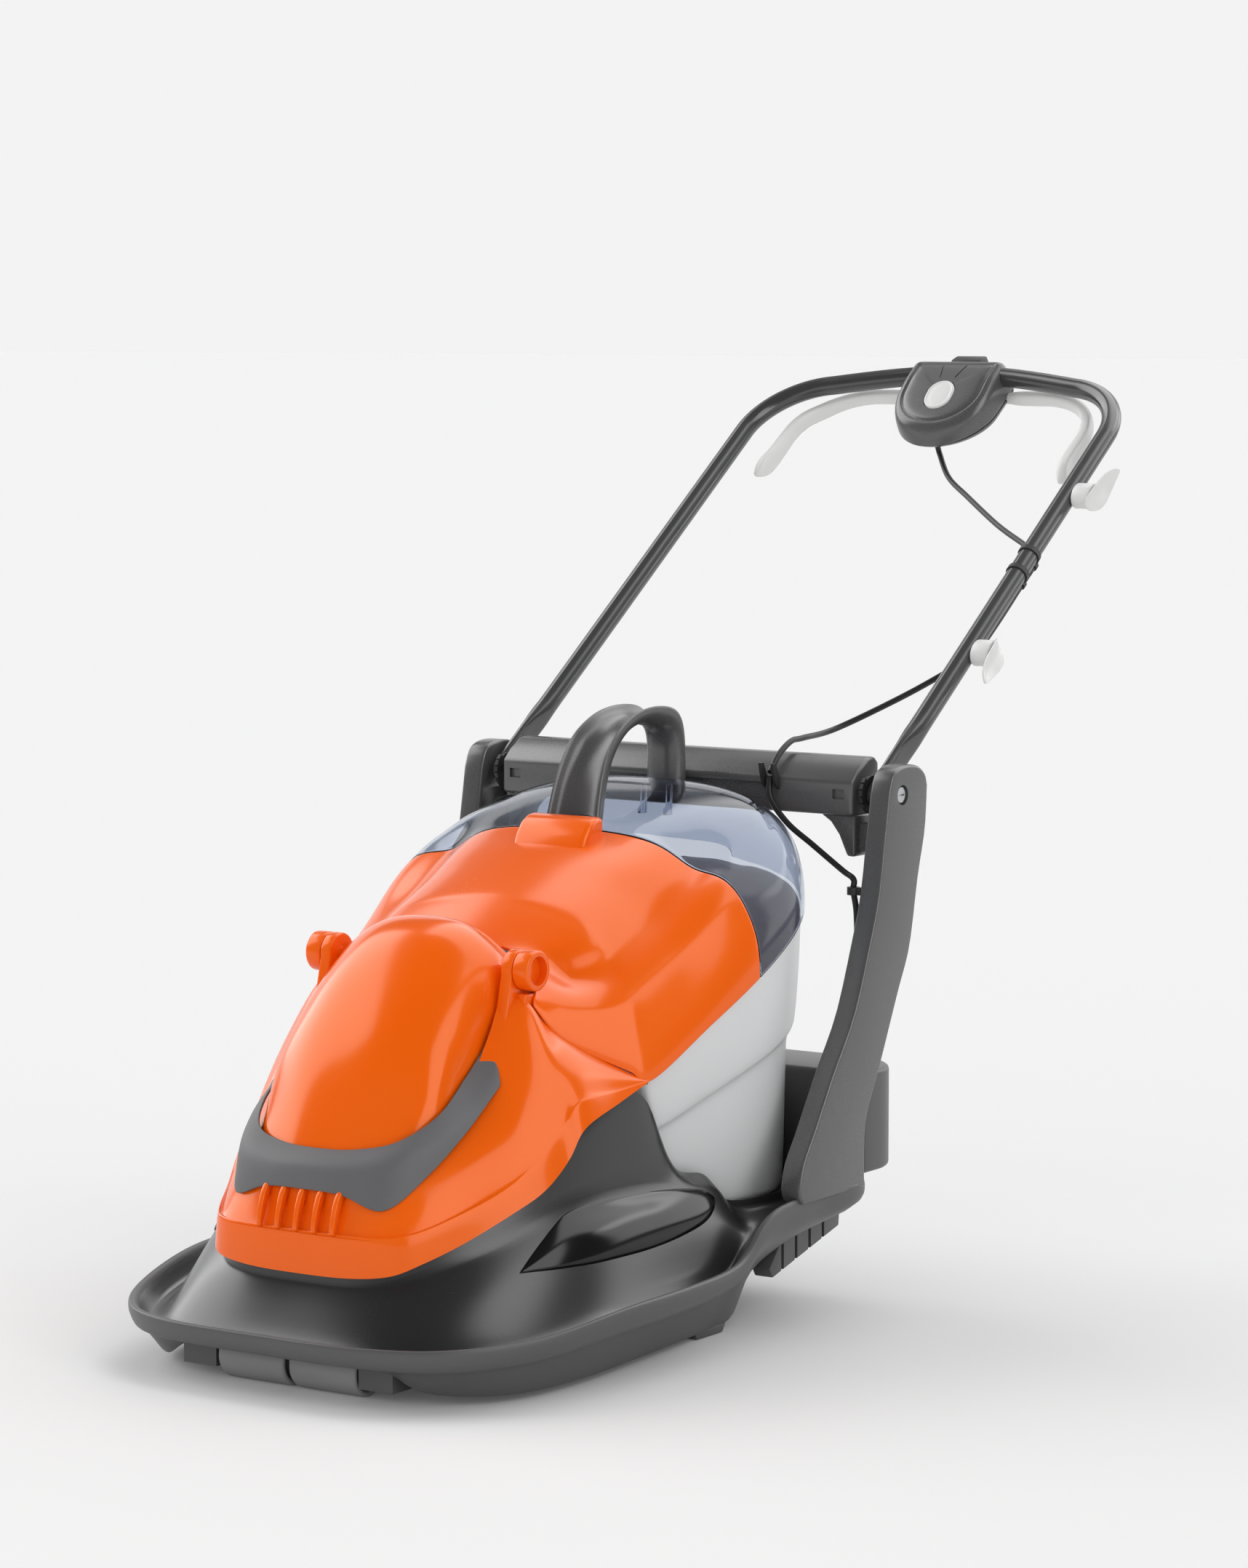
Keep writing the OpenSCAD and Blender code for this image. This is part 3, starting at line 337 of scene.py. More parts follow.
def noiseNode(tree, vector, scale, detail, rough):
    n = tree.nodes.new("ShaderNodeTexNoise")
    tree.links.new(vector, n.inputs["Vector"])
    for name, value in (("Scale", scale), ("Detail", detail), ("Roughness", rough)):
        setSocket(tree, n.inputs[name], value)
    return n.outputs["Fac"]


def newGroup(name, inputs, outputs):
    tree = bpy.data.node_groups.new(name, "ShaderNodeTree")
    kinds = {"v": "NodeSocketVector", "f": "NodeSocketFloat", "c": "NodeSocketColor"}
    for way, sockets in (("INPUT", inputs), ("OUTPUT", outputs)):
        for label, kind in sockets:
            tree.interface.new_socket(label, in_out=way, socket_type=kinds[kind])
    return tree, tree.nodes.new("NodeGroupInput"), tree.nodes.new("NodeGroupOutput")


def placedGroup(tree, group, **values):
    n = tree.nodes.new("ShaderNodeGroup")
    n.node_tree = group
    for key, value in values.items():
        n.inputs[key].default_value = (*value, 1) if isinstance(value, tuple) else value
    return n


# soft studio light: an even pale room with soft boxes
roomFacts = {
    "backdrop": 0.896, "fill": 0.22, "sheen": 0.10, "boxEdge": 0.12,
    "floor": (0.80, 0.80, 0.80), "floorGlow": 0.05, "floorSize": 160, "floorDrop": 0.0005,
}
softBoxes = [  # direction, width, height, strength on surfaces and in their sheen
    {"to": (-0.82, -0.10, 0.52), "wide": 0.50, "high": 0.42, "power": 2.4, "sheen": 3.0},
    {"to": (0.10, 0.55, 0.80), "wide": 0.65, "high": 0.40, "power": 1.8, "sheen": 2.4},
    {"to": (0.90, -0.10, 0.40), "wide": 0.30, "high": 0.50, "power": 1.6, "sheen": 2.6},
    {"to": (-0.50, 0.85, 0.15), "wide": 1.00, "high": 0.35, "power": 0.4, "sheen": 0.9},
    {"to": (0.45, 0.80, 0.35), "wide": 0.40, "high": 0.30, "power": 0.2, "sheen": 2.2},
    {"to": (0.10, -0.93, 0.30), "wide": 0.80, "high": 0.35, "power": 1.3, "sheen": 0.0},
]


def softBoxGroup():
    tree, start, end = newGroup("softBox", [("Vector", "v"), ("Toward", "v"), ("Right", "v"), ("Up", "v"),
                                            ("Wide", "f"), ("High", "f")], [("Mask", "f")])

    def dot(name):
        n = tree.nodes.new("ShaderNodeVectorMath")
        n.operation = "DOT_PRODUCT"
        tree.links.new(start.outputs["Vector"], n.inputs[0])
        tree.links.new(start.outputs[name], n.inputs[1])
        return n.outputs["Value"]

    depth = dot("Toward")
    ahead = mathNode(tree, "MAXIMUM", depth, 0.01)
    mask = mathNode(tree, "GREATER_THAN", depth, 0.02)
    for axis, size in (("Right", "Wide"), ("Up", "High")):
        ramp = tree.nodes.new("ShaderNodeMapRange")
        ramp.interpolation_type = "SMOOTHSTEP"
        out = mathNode(tree, "ABSOLUTE", mathNode(tree, "DIVIDE", dot(axis), ahead))
        tree.links.new(out, ramp.inputs["Value"])
        for bound, share in (("From Min", 1 + roomFacts["boxEdge"]), ("From Max", 1 - roomFacts["boxEdge"])):
            tree.links.new(mathNode(tree, "MULTIPLY", start.outputs[size], share), ramp.inputs[bound])
        mask = mathNode(tree, "MULTIPLY", mask, ramp.outputs["Result"])
    tree.links.new(mask, end.inputs["Mask"])
    return tree


# the camera sees the plain backdrop, and the pieces see the boxes
def setRoom():
    world = bpy.data.worlds.new("paleRoom")
    scene.world = world
    world.use_nodes = True
    tree = world.node_tree
    tree.nodes.clear()
    coords = tree.nodes.new("ShaderNodeTexCoord").outputs["Generated"]
    ray = tree.nodes.new("ShaderNodeLightPath").outputs
    boxTree = softBoxGroup()
    total = mixNode(tree, "FLOAT", ray["Is Glossy Ray"], roomFacts["fill"], roomFacts["sheen"])
    for facts in softBoxes:
        toward = Vector(facts["to"]).normalized()
        right = toward.cross(shaftUp).normalized()
        box = placedGroup(tree, boxTree, Toward=toward, Right=right, Up=right.cross(toward),
                          Wide=facts["wide"], High=facts["high"])
        tree.links.new(coords, box.inputs["Vector"])
        power = mixNode(tree, "FLOAT", ray["Is Glossy Ray"], facts["power"], facts["sheen"])
        total = mathNode(tree, "MULTIPLY_ADD", box.outputs["Mask"], power, total)
    seen = mathNode(tree, "MAXIMUM", ray["Is Camera Ray"], ray["Is Transmission Ray"])
    background = tree.nodes.new("ShaderNodeBackground")
    background.inputs["Color"].default_value = (1, 1, 1, 1)
    strength = mixNode(tree, "FLOAT", seen, total, roomFacts["backdrop"])
    tree.links.new(strength, background.inputs["Strength"])
    tree.links.new(background.outputs[0], tree.nodes.new("ShaderNodeOutputWorld").inputs["Surface"])
    scene.view_settings.view_transform = "Standard"


def setFloor():
    clearSelection()
    bpy.ops.mesh.primitive_plane_add(size=roomFacts["floorSize"], location=(0, 0, -roomFacts["floorDrop"]))
    floor = bpy.context.object
    floor.name = "paleFloor"
    mat = bpy.data.materials.new("paleFloor")
    mat.use_nodes = True
    tree = mat.node_tree
    shader = tree.nodes["Principled BSDF"].inputs
    shader["Base Color"].default_value = (*roomFacts["floor"], 1)
    shader["Roughness"].default_value = 1
    shader["Specular IOR Level"].default_value = 0
    shader["Emission Color"].default_value = (1, 1, 1, 1)
    seen = tree.nodes.new("ShaderNodeLightPath").outputs["Is Camera Ray"]
    tree.links.new(mathNode(tree, "MULTIPLY", seen, roomFacts["floorGlow"]), shader["Emission Strength"])
    floor.data.materials.append(mat)


setRoom()
setFloor()
print("camera and light set")


# finishes
def toLinear(c):
    return tuple(x / 255 / 12.92 if x <= 10 else ((x / 255 + 0.055) / 1.055) ** 2.4 for x in c)


# grain of a moulding: fine bumps, and a roughness that drifts slowly
def mouldGrainGroup():
    tree, start, end = newGroup(
        "mouldGrain", [("Vector", "v"), ("Scale", "f"), ("Depth", "f"), ("Rough", "f"), ("Spread", "f")],
        [("Height", "f"), ("Roughness", "f")])
    given = start.outputs
    fine = noiseNode(tree, given["Vector"], given["Scale"], 3.0, 0.6)
    slow = noiseNode(tree, given["Vector"], 9.0, 3.0, 0.55)
    shift = mathNode(tree, "SUBTRACT", mathNode(tree, "ADD", fine, slow), 1.0)
    rough = mathNode(tree, "MULTIPLY_ADD", shift, given["Spread"], given["Rough"])
    tree.links.new(mathNode(tree, "MULTIPLY", fine, given["Depth"]), end.inputs["Height"])
    tree.links.new(rough, end.inputs["Roughness"])
    return tree


# colour that drifts a little, with a few specks of dust
def toneDriftGroup():
    tree, start, end = newGroup("toneDrift", [("Vector", "v"), ("Light", "c"), ("Dark", "c"), ("Dust", "c"),
                                              ("Scale", "f"), ("Dustiness", "f")], [("Color", "c")])
    given = start.outputs
    slow = noiseNode(tree, given["Vector"], given["Scale"], 4.0, 0.55)
    specks = noiseNode(tree, given["Vector"], 420.0, 1.0, 0.4)
    tone = mixNode(tree, "RGBA", slow, given["Dark"], given["Light"])
    ramp = tree.nodes.new("ShaderNodeMapRange")
    ramp.inputs["From Min"].default_value = 0.70
    ramp.inputs["From Max"].default_value = 0.80
    tree.links.new(specks, ramp.inputs["Value"])
    dusty = mathNode(tree, "MULTIPLY", ramp.outputs[0], given["Dustiness"])
    tree.links.new(mixNode(tree, "RGBA", dusty, tone, given["Dust"]), end.inputs["Color"])
    return tree


# fine lines left by rolling or grinding, along one axis
def brushedGroup():
    tree, start, end = newGroup("brushed", [("Vector", "v"), ("Scale", "f"), ("Depth", "f"), ("Rough", "f")],
                                [("Height", "f"), ("Roughness", "f")])
    stretch = tree.nodes.new("ShaderNodeMapping")
    stretch.inputs["Scale"].default_value = (0.04, 1, 1)
    given = start.outputs
    tree.links.new(given["Vector"], stretch.inputs["Vector"])
    lines = noiseNode(tree, stretch.outputs["Vector"], given["Scale"], 2.0, 0.6)
    rough = mathNode(tree, "MULTIPLY_ADD", lines, 0.18, given["Rough"])
    tree.links.new(mathNode(tree, "MULTIPLY", lines, given["Depth"]), end.inputs["Height"])
    tree.links.new(rough, end.inputs["Roughness"])
    return tree


mouldGrain, toneDrift, brushed = mouldGrainGroup(), toneDriftGroup(), brushedGroup()


orangeSheen = (1, 0.62, 0.28, 1)
usualFinish = {
    "grain": 900, "depth": 0.25, "spread": 0.05, "drift": 0.12, "dust": 0.02, "lines": False, "plain": {},
    "toneScale": 7.0, "dustColour": (200, 196, 188), "bump": 0.6, "bumpDeep": 0.0004,
}
finishFacts = {  # what differs from the usual finish; plain values go straight to the shader
    "glossOrange": {"colour": (246, 98, 5), "rough": 0.22, "grain": 260, "depth": 0.05, "spread": 0.03,
                    "drift": 0.05, "dust": 0,
                    "plain": {"Coat Weight": 0.30, "Coat Roughness": 0.03, "Specular Tint": orangeSheen}},
    "satinOrange": {"colour": (246, 98, 5), "rough": 0.26, "grain": 700, "depth": 0.08, "spread": 0.04,
                    "drift": 0.05, "dust": 0,
                    "plain": {"Coat Weight": 0.35, "Coat Roughness": 0.08, "Specular Tint": orangeSheen}},
    "deckCharcoal": {"colour": (84, 84, 85), "rough": 0.40, "grain": 1100, "depth": 0.3, "spread": 0.06},
    # a darker, glossier copy of the deck's charcoal: painted shade on the tray and the wall round the motor,
    # under the cover
    "trayPaintedShade": {"colour": (36, 36, 37), "rough": 0.26, "depth": 0.12, "spread": 0.04,
                  "plain": {"Specular IOR Level": 0.8}},
    "podBlack": {"colour": (18, 18, 19), "rough": 0.13, "grain": 300, "depth": 0.02, "spread": 0.02,
                 "drift": 0.1, "dust": 0, "plain": {"Specular IOR Level": 0.4}},
    "grainedTrim": {"colour": (98, 98, 100), "rough": 0.50, "grain": 1500, "depth": 0.9, "spread": 0.08},
    "armCharcoal": {"colour": (80, 80, 81), "rough": 0.28, "grain": 1200,
                    "plain": {"Specular IOR Level": 0.9}},
    # the rollers' dark plastic lightened to mid grey: painted light, standing in for light the deck's lip
    # keeps off them
    "rollerPaintedLight": {"colour": (136, 136, 136), "rough": 0.40, "depth": 0.4, "spread": 0.08, "drift": 0.15,
                    "dust": 0.03},
    "flapRubber": {"colour": (30, 30, 30), "rough": 0.75, "grain": 600, "depth": 0.8, "spread": 0.1},
    "tubePaint": {"colour": (58, 58, 59), "rough": 0.20, "grain": 1600, "depth": 0.15, "spread": 0.04,
                  "plain": {"Specular IOR Level": 0.9}},
    "palePlastic": {"colour": (224, 224, 223), "rough": 0.30, "grain": 800, "depth": 0.12, "drift": 0.03},
    "boxGrey": {"colour": (226, 227, 228), "rough": 0.30, "grain": 600, "depth": 0.15, "drift": 0.04,
                "dust": 0, "plain": {"Transmission Weight": 0.06, "IOR": 1.45}},
    "clearWindow": {"colour": (204, 211, 224), "rough": 0.02, "grain": 40, "depth": 0.01, "spread": 0.01,
                    "drift": 0.02, "dust": 0, "plain": {"Transmission Weight": 1.0, "IOR": 1.30}},
    "cableSheath": {"colour": (34, 34, 35), "rough": 0.42, "grain": 700, "depth": 0.4, "spread": 0.08},
    "zincSteel": {"colour": (196, 197, 200), "rough": 0.28, "depth": 0.3, "drift": 0.1, "dust": 0,
                  "lines": True, "plain": {"Metallic": 1.0}},
    "groundSteel": {"colour": (176, 177, 182), "rough": 0.30, "grain": 700, "depth": 0.5, "drift": 0.15,
                    "dust": 0, "lines": True, "plain": {"Metallic": 1.0}},
    "motorBlack": {"colour": (44, 44, 45), "rough": 0.45, "grain": 700, "depth": 0.4, "spread": 0.08},
    "copperWire": {"colour": (200, 122, 72), "rough": 0.35, "grain": 1200, "depth": 0.8, "drift": 0.2,
                   "dust": 0, "lines": True, "plain": {"Metallic": 1.0}},
}


def newFinish(name, facts):
    mat = bpy.data.materials.new(name)
    mat.use_nodes = True
    tree = mat.node_tree
    shader = tree.nodes["Principled BSDF"].inputs
    coords = tree.nodes.new("ShaderNodeTexCoord").outputs["Object"]
    base, half = toLinear(facts["colour"]), facts["drift"] / 2
    tone = placedGroup(tree, toneDrift, Light=tuple(min(1, c * (1 + half)) for c in base),
                       Dark=tuple(c * (1 - half) for c in base), Dust=toLinear(facts["dustColour"]),
                       Scale=facts["toneScale"], Dustiness=facts["dust"])
    skin = placedGroup(tree, brushed if facts["lines"] else mouldGrain, Scale=facts["grain"],
                       Depth=facts["depth"], Rough=facts["rough"])
    if not facts["lines"]:
        skin.inputs["Spread"].default_value = facts["spread"]
    for n in (tone, skin):
        tree.links.new(coords, n.inputs["Vector"])
    bump = tree.nodes.new("ShaderNodeBump")
    bump.inputs["Strength"].default_value = facts["bump"]
    bump.inputs["Distance"].default_value = facts["bumpDeep"]
    tree.links.new(skin.outputs["Height"], bump.inputs["Height"])
    tree.links.new(tone.outputs["Color"], shader["Base Color"])
    tree.links.new(skin.outputs["Roughness"], shader["Roughness"])
    tree.links.new(bump.outputs["Normal"], shader["Normal"])
    for key, value in facts["plain"].items():
        shader[key].default_value = value
    return mat


finishes = {name: newFinish(name, {**usualFinish, **facts}) for name, facts in finishFacts.items()}
print("finishes made")


def smoothed(obj, sharp):
    takeUp(obj)
    bpy.ops.object.shade_smooth_by_angle(angle=math.radians(sharp))


# a piece that has its finishes already keeps them
def finishPiece(obj, finish, body, node, sharp=38):
    smoothed(obj, sharp)
    if not obj.data.materials:
        obj.data.materials.append(finishes[finish])
    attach(obj, body)
    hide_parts(node)


# switch cable, in the three runs between its clips, hook and gland
cable = {"d": 6.4, "sides": 12, "step": 2.0, "sharp": 60, "offTube": 1.6, "aside": 0.006}
tube = {
    "d": 22, "legX": 238, "legLen": 604, "bendR": 90, "turn": math.radians(82), "sides": 32,
    "eyeT": 9, "eyeW": 26, "eyeR": 13.2, "flatFrom": 58, "flatOver": 52, "straightFrom": 160, "legSteps": 8,
    "bendSteps": 20, "barSteps": 8,
    "eyeStations": (-13, -12, -10, -6, 0, 20, 40, 56, 64, 72, 80, 90, 104, 120),
}
clipN = -tube["d"] / 2 - cable["d"] / 2 - cable["offTube"]
cableGuide = (125, 453, 546)
cableEye = (234, 442, 430)
cableRuns = {
    "upperCable": {"node": "upper_cable", "body": "upper_handle", "route": [onHandle(p) for p in (
        (0, 628, -30), (2, 623, -44), (30, 586, -48), (78, 542, -40), (151, 478, -28), (205, 437, -20),
        (232, 415, clipN), (238, 395, clipN), (238, 363, clipN), (238, 300, clipN), (236, 250, clipN),
        (232, 236, clipN))]},
    "middleCable": {"node": "middle_cable", "body": None, "route": [
        *(onHandle(p) for p in ((230.8, 234.1, clipN), (222, 222, clipN), (182, 171, clipN))),
        onHandle((121, 114, clipN)) + Vector((cable["aside"], 0, 0)),
        *(place(p) for p in ((124, 520, 577), (124, 495, 575), (124, 470, 562), cableGuide))]},
    "lowerCable": {"node": "lower_cable", "body": "chassis", "route": [place(p) for p in (
        (125.3, 452.6, 542.2), (127, 450, 520), (150, 447, 495), (182, 446, 474), (218, 446, 450),
        (234, 442, 442), cableEye, (238, 442, 405), (239, 440, 360), (238, 428, 300), (238, 412, 240),
        (238, 405, 180), (238, 404, 124))]},
}


def cordPiece(name, route):
    count = int(sum((b - a).length for a, b in zip(route, route[1:])) / mm / cable["step"])
    path = smoothLine(route, count)
    rows = []
    section = ovalSection(cable["d"], cable["d"], cable["sides"])
    side = Vector((1, 0, 0))
    for i, p in enumerate(path):
        ahead = (path[min(i + 1, count)] - path[max(i - 1, 0)]).normalized()
        side = (side - ahead * side.dot(ahead)).normalized()
        up = ahead.cross(side)
        rows.append([p + (side * u + up * v) * mm for u, v in section])
    obj = ringStack(name, rows, Vector, 0)
    return obj, path, sum((b - a).length for a, b in zip(path, path[1:]))


def makeCables():
    for name, run in cableRuns.items():
        obj, path, length = cordPiece(name, run["route"])
        smoothed(obj, cable["sharp"])
        obj.data.materials.clear()
        obj.data.materials.append(finishes["cableSheath"])
        if run["body"]:
            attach(obj, run["body"])
        else:
            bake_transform(obj)
        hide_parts(run["node"])


makeCables()
print("cables laid")

# deck: rolled rim, tray, dome and the wall round the motor
deck = {
    "wall": 3, "steps": 48, "spanSteps": 3, "middleY": 90, "sharp": 50,
    "trayIn": 20, "trayDrop": 17, "curlIn": 5, "curlDrop": 13, "platePlay": 1,
    "rim": [(0, -254, 62), (110, -250, 62), (190, -214, 62), (245, -130, 66), (270, -20, 80), (274, 90, 83),
            (267, 182, 88), (266, 226, 118), (266, 262, 133), (266, 330, 136), (262, 425, 136),
            (150, 446, 136), (0, 448, 136)],
    "lipDrop": [9, 9, 9, 9, 10, 10, 11, 16, 20, 20, 12, 9, 9],
    "bottom": [(0, -214, 36), (106, -211, 37), (154, -197, 14), (207, -138, 7), (224, -40, 6), (218, 80, 6),
               (212, 150, 6), (205, 215, 6), (198, 262, 6), (172, 312, 7), (130, 345, 8), (70, 360, 9),
               (0, 363, 9)],
    "bowl": [(0, -232, 40), (99, -229, 40), (173, -207, 36), (223, -143, 38), (242, -38, 43), (237, 85, 45),
             (230, 155, 46), (217, 222, 47), (210, 270, 51), (186, 325, 58), (145, 365, 66), (80, 385, 70),
             (0, 390, 70)],
    "domeFoot": [(0, -219, 47), (100, -215, 47), (166, -186, 48), (209, -118, 52), (234, -15, 66),
                 (240, 92, 69), (241, 180, 74), (242, 226, 99), (240, 268, 113), (234, 326, 118),
                 (228, 414, 118), (142, 430, 118), (0, 433, 118)],
    "domeLine": [(0, -198, 80), (86, -194, 82), (142, -166, 88), (182, -104, 104), (212, -12, 128),
                 (224, 95, 132), (229, 176, 126), (228, 224, 120), (218, 264, 118), (220, 322, 121),
                 (214, 402, 121), (138, 422, 121), (0, 425, 121)],
    "towerFoot": [(0, -188, 100), (74, -185, 102), (116, -158, 112), (160, -95, 138), (188, -10, 166),
                  (204, 92, 170), (212, 172, 160), (213, 220, 150), (207, 256, 126), (216, 320, 125),
                  (210, 398, 125), (140, 418, 125), (0, 421, 125)],
    "towerTop": [(0, -186, 126), (71, -183, 128), (114, -156, 140), (155, -92, 174), (184, 0, 232),
                 (198, 98, 268), (198, 158, 182), (200, 214, 166), (202, 250, 134), (212, 318, 131),
                 (207, 395, 131), (140, 415, 131), (0, 418, 131)],
    "plate": [(0, -92, 110), (42, -88, 110), (74, -68, 110), (100, -32, 110), (112, 20, 110),
              (114, 70, 110), (114, 126, 110), (116, 160, 110), (112, 190, 113), (96, 214, 119),
              (66, 230, 122), (34, 238, 122), (0, 240, 122)],
    "opening": [(0, -54, 110), (26, -50, 110), (48, -36, 110), (66, -12, 110), (74, 22, 110), (76, 60, 110),
                (76, 95, 110), (76, 118, 110), (75, 134, 110), (66, 145, 110), (46, 150, 110),
                (22, 151, 110), (0, 151, 110)],
}


def inward(p, d):
    flat = Vector((p[0], p[1] - deck["middleY"], 0))
    return Vector(p) - d * flat.normalized()


def moved(row, d, dz):
    return [inward(p, d) + Vector((0, 0, dz)) for p in row]


def mixed(a, b, t):
    return [Vector(p) + t * (Vector(q) - Vector(p)) for p, q in zip(a, b)]


# glossy lens on each flank of the dome, over the deck's own skin
pod = {  # its low and high lines are in steps along and up the tray
    "long": 60, "wide": 22, "near": 0.02, "sharp": 60,
    "lift": 0.3, "swell": 6.0, "roundness": 0.6, "sunkEdge": 0.8,
    "low": [(3.20, 2.12), (3.58, 1.90), (3.96, 1.77), (4.38, 1.72), (4.86, 1.72), (5.38, 1.80),
            (5.92, 1.98), (6.30, 2.26), (6.58, 2.66)],
    "high": [(3.20, 2.12), (3.44, 2.42), (3.82, 2.84), (4.06, 2.95), (4.52, 2.97), (5.12, 2.97),
             (5.80, 2.96), (6.26, 2.92), (6.58, 2.66)],
}


def trayLines():
    return [moved(deck["rim"], deck["trayIn"], -deck["trayDrop"]), deck["domeFoot"], deck["domeLine"],
            deck["towerFoot"], deck["towerTop"]]


def deckPod(name):
    long, wide, near = pod["long"], pod["wide"], pod["near"]
    low, high = smoothLine(pod["low"], long), smoothLine(pod["high"], long)
    tray = trayLines()

    def skin(s, t):
        return along([along(row, s) for row in tray], t)

    rows = []
    for j in range(wide + 1):
        v = j / wide
        row = []
        for k in range(long + 1):
            s, t = low[k] + v * (high[k] - low[k])
            du = skin(s + near, t) - skin(s - near, t)
            dv = skin(s, t + near) - skin(s, t - near)
            out = du.cross(dv).normalized()
            swell = (math.sin(math.pi * v) * math.sin(math.pi * k / long)) ** pod["roundness"]
            atEdge = v in (0, 1) or k in (0, long)
            lift = -pod["sunkEdge"] if atEdge else pod["lift"] + pod["swell"] * swell
            row.append(skin(s, t) + out * lift * (1 if out.z > 0 else -1))
        rows.append(row)
    obj = gridPiece(name, rows)
    if sum(p.area * p.normal.z for p in obj.data.polygons) < 0:
        inEdit(obj, lambda: bpy.ops.mesh.flip_normals())
    return subdivided(obj, 1)


# rings from the foot over the rim and tray to the motor's opening, and back under the skin
def makeDeck():
    wall, rim, bottom, bowl = deck["wall"], deck["rim"], deck["bottom"], deck["bowl"]
    foot, top, plate, opening = deck["towerFoot"], deck["towerTop"], deck["plate"], deck["opening"]
    drop = [Vector((0, 0, d)) for d in deck["lipDrop"]]
    curl = Vector((0, 0, deck["curlDrop"]))
    lip = [Vector(p) - d for p, d in zip(rim, drop)]
    under = [inward(p, deck["curlIn"]) - d - curl for p, d in zip(rim, drop)]
    topIn = moved(top, wall, 0)
    footIn = [Vector((p[0], p[1], q[2] - deck["platePlay"])) for p, q in zip(topIn, foot)]
    tray, per = trayLines()[:-1], deck["spanSteps"]
    stops = [k / per for k in range(per * (len(tray) - 1) + 1)]
    slope = [[along([r[i] for r in tray], t) for i in range(len(rim))] for t in stops]
    bowlIn = moved(bowl, wall, 0)
    footUnder = moved(deck["domeFoot"], wall, -wall - 1)
    towerUnder = moved(foot, wall, -wall)
    plateUnder = moved(plate, 0, -wall)
    outside = [bottom, mixed(bottom, bowl, 0.5), bowl, mixed(bowl, under, 0.5), under, lip,
               mixed(lip, rim, 0.5), rim, moved(rim, 4, 0.3), moved(rim, 9, -2), *slope,
               mixed(foot, top, 0.12), mixed(foot, top, 0.9), top, topIn, footIn, plate, opening]
    inside = [moved(bottom, wall, 0), bowlIn, mixed(bowlIn, footUnder, 0.4), mixed(bowlIn, footUnder, 0.75),
              footUnder, moved(deck["domeLine"], wall, -wall), towerUnder,
              mixed(towerUnder, plateUnder, 0.09), plateUnder, moved(opening, 0, -wall)]
    rows = [fullRing(smoothLine(r, deck["steps"])) for r in outside + inside[::-1] + outside[:1]]
    # the tray and the wall round the motor take the darker copy of the charcoal: painted shade where the
    # cover shades them
    paintedShadeBands = range(outside.index(slope[0]) - 1, outside.index(top))
    obj = gridPiece("deckHood", rows, place, [int(k in paintedShadeBands) for k in range(len(rows) - 1)])
    for finish in ("deckCharcoal", "trayPaintedShade"):
        obj.data.materials.append(finishes[finish])
    weld(obj)
    normalsOut(obj)
    subdivided(obj, 1)
    rightPod = deckPod("rightPod")
    pods = [rightPod, mirrored(rightPod, "leftPod")]
    finishPiece(obj, "deckCharcoal", "chassis", "deck_hood", deck["sharp"])
    for lens in pods:
        smoothed(lens, pod["sharp"])
        lens.data.materials.append(finishes["podBlack"])
    joined(obj, *pods)


makeDeck()

housing = {"half": 262, "front": 418, "back": 512, "corner": 60, "low": 140, "top": 246, "edge": 5}


def makeHousing():
    h, r, back = housing["half"], housing["corner"], housing["back"]
    turn = [math.radians(a) for a in range(0, 91, 6)]
    plan = [(h, housing["front"])] + [(h - r + r * math.cos(a), back - r + r * math.sin(a)) for a in turn]
    plan += [(-x, y) for x, y in plan[::-1]]
    obj = outlinePiece("rearHousing", [(x, y, housing["low"]) for x, y in plan],
                       (0, 0, housing["top"] - housing["low"]), place)
    rounded(obj, housing["edge"], 4, 50)
    finishPiece(obj, "deckCharcoal", "chassis", "rear_housing")


makeHousing()

# low band with slots under each side of the tail, and a foot before it
tail = {
    "footIn": 190, "footWide": 14, "bandIn": 200, "bandWide": 22,
    "slots": 4, "firstSlot": 324, "pitch": 26, "slotWide": 5, "slotDeep": 9, "slotLow": 30, "slotHigh": 120,
    "foot": [(196, 0), (242, 0), (248, 9), (190, 9)],
    "band": [(302, 56), (308, 46), (436, 80), (438, 98), (330, 88)],
}


def makeTail():
    sides = []
    for side in (1, -1):
        inner, outer = side * tail["bandIn"], side * (tail["bandIn"] + tail["bandWide"])
        band = across("tailBand", tail["band"], inner, outer, 1.5, 2, 30)
        for k in range(tail["slots"]):
            y0 = tail["firstSlot"] + k * tail["pitch"]
            y1 = y0 + tail["slotWide"]
            low, high = tail["slotLow"], tail["slotHigh"]
            slot = [(y0, low), (y1, low), (y1, high), (y0, high)]
            cutBy(band, across("tailSlot", slot, outer - side * tail["slotDeep"], outer + side * cutPast))
        inner, outer = side * tail["footIn"], side * (tail["footIn"] + tail["footWide"])
        sides += [band, across("tailFoot", tail["foot"], inner, outer, 1, 2)]
    obj = gathered("tailSkids", sides)
    finishPiece(obj, "deckCharcoal", "chassis", "tail_skids")


makeTail()

roller = {"d": 48, "len": 80, "gap": 3, "y": -186, "edge": 3.0, "sides": 64, "hubRim": 6, "hubDeep": 8}


def makeRollers():
    right = rodAcross("frontRollerRight", roller["gap"], roller["gap"] + roller["len"], roller["y"],
                      roller["d"] / 2, roller["d"], 0, roller["sides"])
    sink = {"value": -roller["hubDeep"] * mm}
    onFaces(right, lambda p: abs(p.normal.x) > 0.9,
            lambda: bpy.ops.mesh.inset(thickness=roller["hubRim"] * mm, use_individual=True),
            lambda: bpy.ops.mesh.extrude_region_shrink_fatten(TRANSFORM_OT_shrink_fatten=sink))
    rounded(right, roller["edge"], 3, 50)
    left = mirrored(right, "frontRollerLeft")
    # the rollers' finish is a grey lightened past their dark plastic: painted light under the deck's lip
    finishPiece(right, "rollerPaintedLight", "front_roller_right", "front_roller_right")
    finishPiece(left, "rollerPaintedLight", "front_roller_left", "front_roller_left")


makeRollers()
print("deck made")

